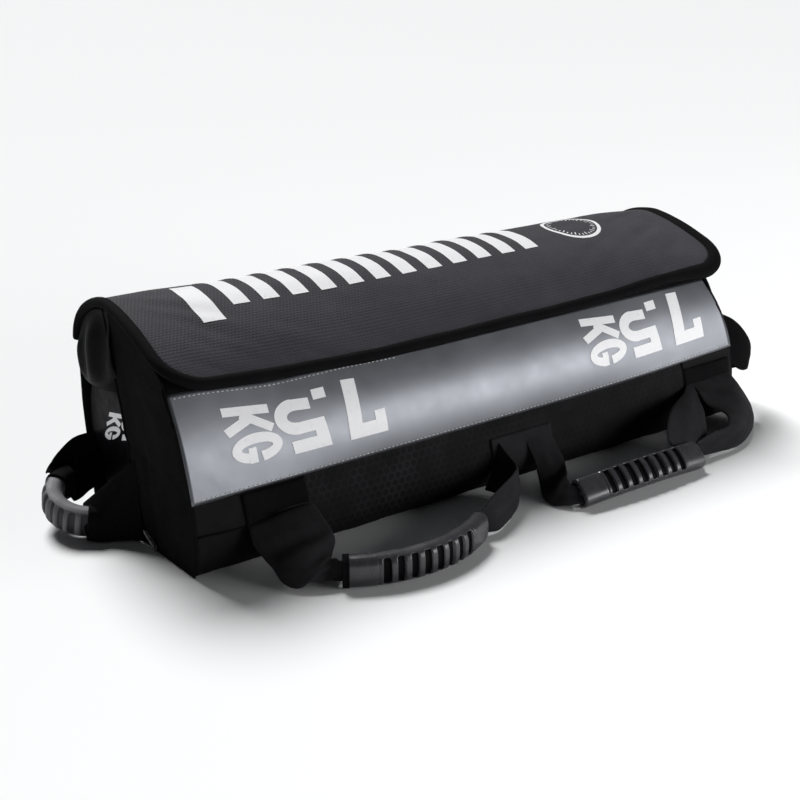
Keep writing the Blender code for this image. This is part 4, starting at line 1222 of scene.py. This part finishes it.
# %% A band laid through rungs
def between(values, t):
    """A smooth curve through a row of vectors, for t from 0 to the last one."""
    i = min(int(t), len(values) - 2)
    f = t - i
    a, b, c, d = values[max(i - 1, 0)], values[i], values[i + 1], values[min(i + 2, len(values) - 1)]
    return 0.5 * ((2 * b) + (c - a) * f + (2 * a - 5 * b + 4 * c - d) * f ** 2
                  + (3 * b - a - 3 * c + d) * f ** 3)


def lay_band(name, node, body, rungs, look, slot_name, columns=14, rows=90, width=0.067,
             thickness=0.0024, seed=0, rough=0.0007):
    """A strap through rungs of (edge, other edge, bow)."""
    first = [Vector(r[0]) for r in rungs]
    last = [Vector(r[1]) for r in rungs]
    bows = [Vector(r[2]) for r in rungs]
    middle = [(a + b) / 2 for a, b in zip(first, last)]
    length = sum((b - a).length for a, b in zip(middle, middle[1:]))

    def place(u, v):
        t = v * (len(rungs) - 1)
        a, b, bow = between(first, t), between(last, t), between(bows, t)
        spot = a.lerp(b, u) + bow * 4 * u * (1 - u)
        return Vector((spot.x, spot.y, max(spot.z, 0.0014)))

    def crumple(u, v):
        calm = ease(0.0, 0.06, v) * ease(1.0, 0.9, v)
        return calm * (rough * 1.6 * ripple(u * width, v * length, 0.026, 20 + seed)
                       + rough * 0.7 * ripple(u * width, v * length, 0.010, 21 + seed))

    bm = grid(columns, rows, place, (width, length), crumple)
    for vert in bm.verts:
        vert.co.z = max(vert.co.z, 0.0014)
    band = keep(name, bm, look, body, slot_name)
    thicken(band, thickness, 0)
    refine(band)
    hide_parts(node)
    print(name, "%.0f mm long" % (length * 1000))
    return band


def inside_grip(axes, length, radius, out_start, out_end, count=12, wide=0.0182):
    """Rungs of the strap where it runs in the grip's bore, a little past both mouths."""
    low = -length / 2 - out_start
    high = length / 2 + out_end
    rungs = []
    for i in range(count + 1):
        turn = (low + (high - low) * i / count) / radius
        spot = [axes @ Vector((radius * sin(turn), radius * cos(turn), z)) for z in (-wide / 2, wide / 2)]
        spot.sort(key=lambda p: p.z)
        rungs.append((spot[0], spot[1], (0, 0, 0)))
    return rungs


left_inside = inside_grip(front_left_axes, 0.150, 0.125, 0.002, 0.002)
right_inside = inside_grip(front_right_axes, 0.150, 0.600, 0.002, 0.002)
print("mouths of the left grip at", [tuple(round(c, 3) for c in left_inside[i][0]) for i in (0, -1)])
print("mouths of the right grip at", [tuple(round(c, 3) for c in right_inside[i][0]) for i in (0, -1)])

# %% The two front straps
left_lobe = [((-0.2680, -0.0957, 0.0475), (-0.2045, -0.0957, 0.0475), (0, -0.0005, 0.0005)),
             ((-0.2685, -0.0990, 0.0400), (-0.2050, -0.0990, 0.0420), (0, -0.001, 0)),
             ((-0.2700, -0.1050, 0.0375), (-0.2065, -0.1080, 0.0420), (0, -0.004, 0.004)),
             ((-0.2720, -0.1135, 0.0285), (-0.2080, -0.1215, 0.0378), (0, -0.007, 0.004)),
             ((-0.2710, -0.1250, 0.0215), (-0.2090, -0.1345, 0.0330), (0, -0.005, 0.000)),
             ((-0.2690, -0.1380, 0.0150), (-0.2125, -0.1450, 0.0280), (-0.001, -0.010, 0.006)),
             ((-0.2680, -0.1500, 0.0075), (-0.2210, -0.1550, 0.0245), (-0.002, -0.006, 0.001)),
             ((-0.2610, -0.1600, 0.0040), (-0.2280, -0.1615, 0.0235), (-0.002, -0.004, 0.000)),
             ((-0.2490, -0.1625, 0.0080), (-0.2300, -0.1645, 0.0240), (-0.001, -0.002, 0)),
             ((-0.2370, -0.1650, 0.0060), (-0.2265, -0.1672, 0.0240), (0, -0.001, 0))]
left_leg = [((-0.0760, -0.1675, 0.0036), (-0.0735, -0.1660, 0.0240), (0, 0, 0)),
            ((-0.0600, -0.1700, 0.0018), (-0.0600, -0.1620, 0.0320), (0.001, -0.001, 0)),
            ((-0.0400, -0.1610, 0.0018), (-0.0400, -0.1530, 0.0345), (0.001, -0.002, 0)),
            ((-0.0215, -0.1480, 0.0018), (-0.0200, -0.1420, 0.0350), (0.002, -0.002, 0)),
            ((-0.0080, -0.1340, 0.0022), (-0.0050, -0.1290, 0.0350), (0.003, 0, 0)),
            ((-0.0120, -0.1190, 0.0040), (-0.0005, -0.1120, 0.0400), (0.004, 0, 0)),
            ((-0.0200, -0.1040, 0.0060), (0.0010, -0.0960, 0.0475), (0.002, -0.001, 0))]
lay_band("front_left_strap", "strap_front_left", "handle_front_left",
         left_lobe + left_inside + left_leg, webbing, "webbing", rows=190, seed=1)
right_leg = [((0.0320, -0.0985, 0.0400), (0.0615, -0.0957, 0.0470), (0, 0, 0)),
             ((0.0340, -0.1080, 0.0250), (0.0660, -0.1040, 0.0300), (0, -0.002, 0.001)),
             ((0.0270, -0.1250, 0.0125), (0.0660, -0.1150, 0.0200), (0, -0.003, 0.001)),
             ((0.0170, -0.1420, 0.0030), (0.0560, -0.1300, 0.0180), (-0.002, -0.004, 0)),
             ((0.0140, -0.1580, 0.0020), (0.0400, -0.1480, 0.0200), (-0.003, -0.002, 0)),
             ((0.0185, -0.1670, 0.0028), (0.0300, -0.1610, 0.0235), (-0.001, -0.001, 0))]
right_lobe = [((0.1960, -0.1640, 0.0040), (0.1600, -0.1640, 0.0255), (0, -0.001, 0.002)),
              ((0.2090, -0.1595, 0.0075), (0.1580, -0.1575, 0.0310), (0.000, -0.004, 0.001)),
              ((0.2275, -0.1430, 0.0190), (0.1720, -0.1430, 0.0385), (0.001, -0.005, 0.002)),
              ((0.2400, -0.1270, 0.0290), (0.1970, -0.1240, 0.0425), (0.001, -0.004, 0.003)),
              ((0.2490, -0.1090, 0.0390), (0.2300, -0.1065, 0.0435), (0, -0.002, 0.0)),
              ((0.2600, -0.0957, 0.0475), (0.2460, -0.0957, 0.0475), (0, -0.0005, 0.0005))]
outer_fold = [((0.3050, -0.0957, 0.0475), (0.2520, -0.0957, 0.0475), (0, -0.0005, 0.0005)),
              ((0.3070, -0.1030, 0.0430), (0.2500, -0.1080, 0.0420), (0.001, -0.003, -0.001)),
              ((0.3140, -0.1100, 0.0300), (0.2525, -0.1180, 0.0320), (0.001, -0.007, 0.005)),
              ((0.3225, -0.1155, 0.0140), (0.2570, -0.1280, 0.0290), (0.001, -0.008, 0.004)),
              ((0.3140, -0.1270, 0.0030), (0.2600, -0.1370, 0.0265), (0.002, -0.006, 0.003)),
              ((0.2775, -0.1525, 0.0022), (0.2530, -0.1480, 0.0240), (0.004, -0.003, 0.003)),
              ((0.2520, -0.1630, 0.0022), (0.2420, -0.1560, 0.0220), (0.002, -0.002, 0.002)),
              ((0.2250, -0.1640, 0.0030), (0.2240, -0.1580, 0.0230), (0, -0.001, 0.001)),
              ((0.1960, -0.1630, 0.0050), (0.1940, -0.1620, 0.0200), (0, 0, 0))]
lay_band("front_right_strap", "strap_front_right", "handle_front_right",
         right_leg + right_inside + right_lobe, webbing, "webbing", rows=190, seed=3)
lay_band("front_right_fold", "strap_front_right", "handle_front_right", outer_fold, webbing, "webbing",
         rows=90, columns=20, seed=4)

# %% The wings that carry the end grips
for side, word in ((-1, "left"), (1, "right")):
    inside = inside_grip(end_axes[side], 0.092, 0.0315, 0.0015, 0.0015, 16)
    face = side * (half + 0.0040)
    if side < 0:
        front = [((face, 0.006, 0.0022), (face, 0.009, 0.0600), (0, 0, 0)),
                 ((face + side * 0.0040, 0.012, 0.0018), (face + side * 0.0040, 0.015, 0.0500),
                  (side * 0.0015, 0, 0)),
                 ((face + side * 0.0100, 0.019, 0.0018), (face + side * 0.0100, 0.0205, 0.0400),
                  (side * 0.0015, 0, 0)),
                 ((face + side * 0.0160, 0.0245, 0.0030), (face + side * 0.0160, 0.0250, 0.0330), (0, 0, 0))]
    else:
        front = [((face, -0.0880, 0.0520), (face, -0.0715, 0.1020), (0, 0, 0)),
                 ((face + 0.0160, -0.0890, 0.0420), (face + 0.0115, -0.0790, 0.0950), (0.003, -0.002, 0)),
                 ((face + 0.0300, -0.0850, 0.0395), (face + 0.0250, -0.0830, 0.0800), (0.003, -0.002, 0)),
                 ((face + 0.0370, -0.0700, 0.0360), (face + 0.0365, -0.0760, 0.0640), (0.003, 0, 0)),
                 ((face + 0.0330, -0.0320, 0.0180), (face + 0.0340, -0.0340, 0.0540), (0.003, 0, 0)),
                 ((face + 0.0230, 0.0080, 0.0075), (face + 0.0240, 0.0090, 0.0410), (0.001, 0, 0)),
                 ((face + 0.0140, 0.0245, 0.0060), (face + 0.0140, 0.0250, 0.0330), (0, 0, 0))]
    rear = [((side * 0.3310, 0.0880, 0.0200), (side * 0.3310, 0.0890, 0.0500), (0, 0, 0)),
            ((side * 0.3235, 0.0930, 0.0160), (side * 0.3235, 0.0945, 0.0570), (side * 0.001, 0, 0)),
            ((side * 0.3080, 0.0925, 0.0180), (side * 0.3080, 0.0945, 0.0650), (0, 0, 0))]
    lay_band("end_%s_wings" % word, "strap_end_" + word, "handle_end_" + word, front + inside + rear,
             black_cloth, "black_cloth", rows=150, seed=5 + side, width=0.060, thickness=0.0018)
    cover = [((side * 0.3070, 0.0932, 0.0180), (side * 0.3070, 0.0955, 0.0690), (0, 0, 0)),
             ((side * 0.3190, 0.0905, 0.0150), (side * 0.3250, 0.0985, 0.0665), (side * 0.004, 0.003, 0.002)),
             ((side * 0.3285, 0.0855, 0.0130), (side * 0.3400, 0.0955, 0.0595), (side * 0.005, 0.003, 0.004)),
             ((side * 0.3365, 0.0790, 0.0145), (side * 0.3520, 0.0920, 0.0515), (side * 0.004, 0.003, 0.008)),
             ((side * 0.3415, 0.0725, 0.0180), (side * 0.3605, 0.0865, 0.0440), (side * 0.003, 0.002, 0.010))]
    lay_band("end_%s_cover" % word, "strap_end_" + word, "handle_end_" + word, cover, black_cloth,
             "black_cloth", rows=40, seed=9 + side, width=0.050, thickness=0.0018)

flare = [((-0.3162, -0.0065, 0.0022), (-0.3166, -0.0005, 0.0765), (0, 0, 0)),
         ((-0.3270, 0.0045, 0.0020), (-0.3225, 0.0100, 0.0660), (-0.002, -0.002, 0)),
         ((-0.3375, 0.0105, 0.0018), (-0.3300, 0.0205, 0.0545), (-0.003, -0.002, 0)),
         ((-0.3470, 0.0165, 0.0018), (-0.3400, 0.0310, 0.0410), (-0.004, -0.003, 0)),
         ((-0.3548, 0.0228, 0.0022), (-0.3485, 0.0395, 0.0300), (-0.003, -0.003, 0))]
lay_band("end_left_flare", "strap_end_left", "handle_end_left", flare, black_cloth, "black_cloth",
         rows=50, seed=12, width=0.070, thickness=0.0018)


def cuff(name, body, axes, radius, first, last, spare):
    """A short cloth sleeve round a grip's end, between two running lengths."""
    way = 1 if last > first else -1
    rings = [(first, 0.0), (first + way * 0.0008, spare), (last - way * 0.0016, spare + 0.0003),
             (last - way * 0.0005, spare + 0.0002), (last, -0.0002)]
    rings = [rings[0], rings[1]] + [(first + (last - first) * i / 8, spare) for i in range(1, 7)] + rings[2:]

    def ring(i):
        turn = rings[i][0] / radius
        spots = []
        for j in range(48):
            out, up = oval(0.018 + 2 * rings[i][1], 0.027 + 2 * rings[i][1], 2.8, j, 48)
            spots.append(axes @ Vector(((radius + out) * sin(turn), (radius + out) * cos(turn), up)))
        return spots

    route = [axes @ Vector((radius * sin(s / radius), radius * cos(s / radius), 0)) for s, d in rings]
    return keep(name, extrude_along(name, route, ring, closed_ends=False, around=48),
                black_cloth, body, "black_cloth")


cuff("end_left_cuff", "handle_end_left", end_axes[-1], 0.0315, -0.0465, -0.0335, 0.0016)
# At the front left grip's mouth this black band is painted shade on the grip's rounded end, drawn as a thin
# sleeve.
cuff("front_left_painted_shade_band", "handle_front_left", front_left_axes, 0.125, -0.0757, -0.0700, 0.0004)
cuff("end_left_rear_cuff", "handle_end_left", end_axes[-1], 0.0315, 0.0465, 0.0275, 0.0016)
cuff("end_right_rear_cuff", "handle_end_right", end_axes[1], 0.0315, 0.0465, 0.0275, 0.0016)
print("wings, covers and cuffs")

# %% [markdown]
# ## Anchors, closing strips and the small tab
# The front straps leave from patches that are sewn on with a box of stitches. Under the lid lie a tuck
# flap with a loop strip, and a hook strip on the lid itself, which show when the lid is turned up. The
# small tab on the left end is a folded strip of pale cloth.

# %% Patches and strips
def front_spot(x, height, lift):
    """A place on the front face at a height, off the cloth by a lift."""
    line = front_line(key(x))
    low, high = 0.0, 0.075
    for _ in range(18):
        run = (low + high) / 2
        low, high = (run, high) if line.spot(run).y > height else (low, run)
    return Vector((x, *line.at(run, -lift)))


def flat_patch(name, node, low_x, high_x, low_z, high_z, look, body="jacket", lift=0.0016):
    def place(u, v):
        return front_spot(low_x + (high_x - low_x) * u, low_z + (high_z - low_z) * v, lift)
    bm = grid(24, 18, place, (high_x - low_x, high_z - low_z),
              lambda u, v: 0.0005 * ripple(u * 0.07, v * 0.05, 0.02, low_x * 40))
    piece = keep(name, bm, look, body, "webbing")
    thicken(piece, 0.0014)
    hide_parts(node)
    return piece


def seam(name, spots, thick=0.0007, body="jacket"):
    """A thin welt along a seam, given by places on the cloth."""
    outs = [Vector((0, -1, 0.2)).normalized()] * len(spots)
    return keep(name, extrude_along(name, spots, roll(spots, outs, thick, thick * 1.4, 8), around=8),
                black_cloth, body, "black_cloth")


flat_patch("left_anchor", "anchor_left", -0.268, -0.207, 0.014, 0.0630, black_cloth)
flat_patch("middle_anchor", "anchor_middle", -0.008, 0.064, 0.014, 0.0500, webbing)
flat_patch("right_anchor", "anchor_right", 0.243, 0.308, 0.014, 0.0630, black_cloth)
print("three anchors")
for name, low, high in (("left_base_seam", -half + 0.001, -0.207), ("right_base_seam", 0.243, half - 0.001)):
    seam(name, [front_spot(low + (high - low) * i / 30, 0.038, 0.0006) for i in range(31)])
for name, x, top in (("left_honeycomb_seam", -0.207, 0.064), ("right_honeycomb_seam", 0.243, 0.069)):
    seam(name, [front_spot(x, 0.008 + (top - 0.008) * i / 30, 0.0007) for i in range(31)])
print("seams of the front")

# %% The tuck flap, the two tapes and the tab
def under_lid_spot(x, run, depth):
    return Vector((x, *lid_line(key(x)).at(run, -depth)))


def flap_place(u, v):
    x = -half + (2 * half - 0.013) * u
    label_head = Vector((x, *label_line(key(x)).at(label_line(key(x)).length, -0.0005)))
    return label_head.lerp(under_lid_spot(x, 0.010 + 0.046 * v, 0.0112), ease(0.0, 0.22, v))


bm = grid(120, 16, flap_place, (2 * half, 0.050),
          lambda u, v: 0.0004 * ripple(u * 0.63, v * 0.05, 0.03, 31))
flap = keep("tuck_flap", bm, black_cloth, "jacket", "black_cloth")
thicken(flap, 0.0012)
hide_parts("mouth_flap")
tapes = (("loop_tape_strip", "loop_strip", "jacket", 0.0094, loop_tape, "loop_tape", "tuck_flap"),
         ("hook_tape_strip", "hook_strip", "lid", 0.0072, hook_tape, "hook_tape", "lid"))
for name, node, body, depth, look, slot_name, carrier in tapes:
    bm = grid(100, 6, lambda u, v: under_lid_spot(-0.2913 + 0.5826 * u, 0.0165 + 0.025 * v, depth),
              (0.5826, 0.025))
    tape = keep(name, bm, look, body, slot_name)
    thicken(tape, 0.0011, 0)
    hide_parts(node)


def tab_place(u, v):
    return Vector((-half - 0.0024 - 0.0018 * ease(0.3, 0.7, v), -0.0100 - 0.0180 * u + 0.001 * v,
                   0.0096 - 0.0086 * u + 0.0052 * cos(pi * v) ** 2))


tab = keep("folded_tab", grid(14, 20, tab_place, (0.019, 0.024)), tab_cloth, "jacket", "tab_cloth")
thicken(tab, 0.0004, 0)
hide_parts("side_tab")
print("flap, tapes and tab")

# %% [markdown]
# ## Floor, light and camera
# The picture is a product shot on a pale sweep: soft light from above, a bright floor that fades into
# the backdrop, and a soft shadow close under the bag. One wide sheet of paper is the floor, a soft sun
# stands above and behind the bag, and two area lights lift its front and its left end.

# %% The stage
def build_stage():
    bm = bmesh.new()
    bmesh.ops.create_grid(bm, x_segments=1, y_segments=1, size=40)
    floor = bpy.data.meshes.new("floor")
    bm.to_mesh(floor)
    bm.free()
    paper = Finish("floor_paper", (0.90, 0.905, 0.91), 0.9, mapped=False, Specular_IOR_Level=0.1)
    paper.paint(paper.blend(paper.noise(0.9, 2), (0.895, 0.90, 0.905), (0.905, 0.91, 0.915)))
    floor.materials.append(paper.made)
    sheet_of_paper = bpy.data.objects.new("floor", floor)
    bpy.context.scene.collection.objects.link(sheet_of_paper)


def area_light(name, place, target, size, power, colour=(1, 1, 1)):
    lamp = bpy.data.lights.new(name, 'AREA')
    lamp.shape, lamp.size, lamp.size_y = 'RECTANGLE', size[0], size[1]
    lamp.energy, lamp.color = power, colour
    holder = bpy.data.objects.new(name, lamp)
    holder.location = place
    holder.rotation_euler = (Vector(target) - Vector(place)).to_track_quat('-Z', 'Y').to_euler()
    bpy.context.scene.collection.objects.link(holder)


def sun_light(name, toward, strength, softness):
    lamp = bpy.data.lights.new(name, 'SUN')
    lamp.energy, lamp.angle = strength, softness
    holder = bpy.data.objects.new(name, lamp)
    holder.rotation_euler = Vector(toward).to_track_quat('Z', 'Y').to_euler()
    bpy.context.scene.collection.objects.link(holder)


build_stage()
sun_light("overhead_light", (0.14, 0.85, 1.0), 4.0, 0.45)
area_light("front_light", (1.04, -1.60, 0.42), (0.02, -0.09, 0.10), (1.5, 0.7), 21)
area_light("left_light", (-2.1, 0.5, 1.3), (-0.3, 0, 0.08), (0.9, 0.9), 0.3)
world = bpy.data.worlds.new("dim_room")
world.use_nodes = True
world.node_tree.nodes["Background"].inputs["Color"].default_value = (0.94, 0.97, 1.0, 1)
world.node_tree.nodes["Background"].inputs["Strength"].default_value = 0.03
bpy.context.scene.world = world
print("stage is set")

# %% The camera, at the photograph's angle
lens = bpy.data.cameras.new("camera")
lens.lens, lens.sensor_width = 72, 36
camera = bpy.data.objects.new("camera", lens)
camera.location = (-0.875, -1.130, 0.606)
camera.rotation_euler = (pi / 2 - pi * 21 / 180, 0, -pi * 36.5 / 180)
bpy.context.scene.collection.objects.link(camera)
bpy.context.scene.camera = camera
bpy.context.scene.view_settings.view_transform = "Standard"
print("camera looks down by 21 degrees")
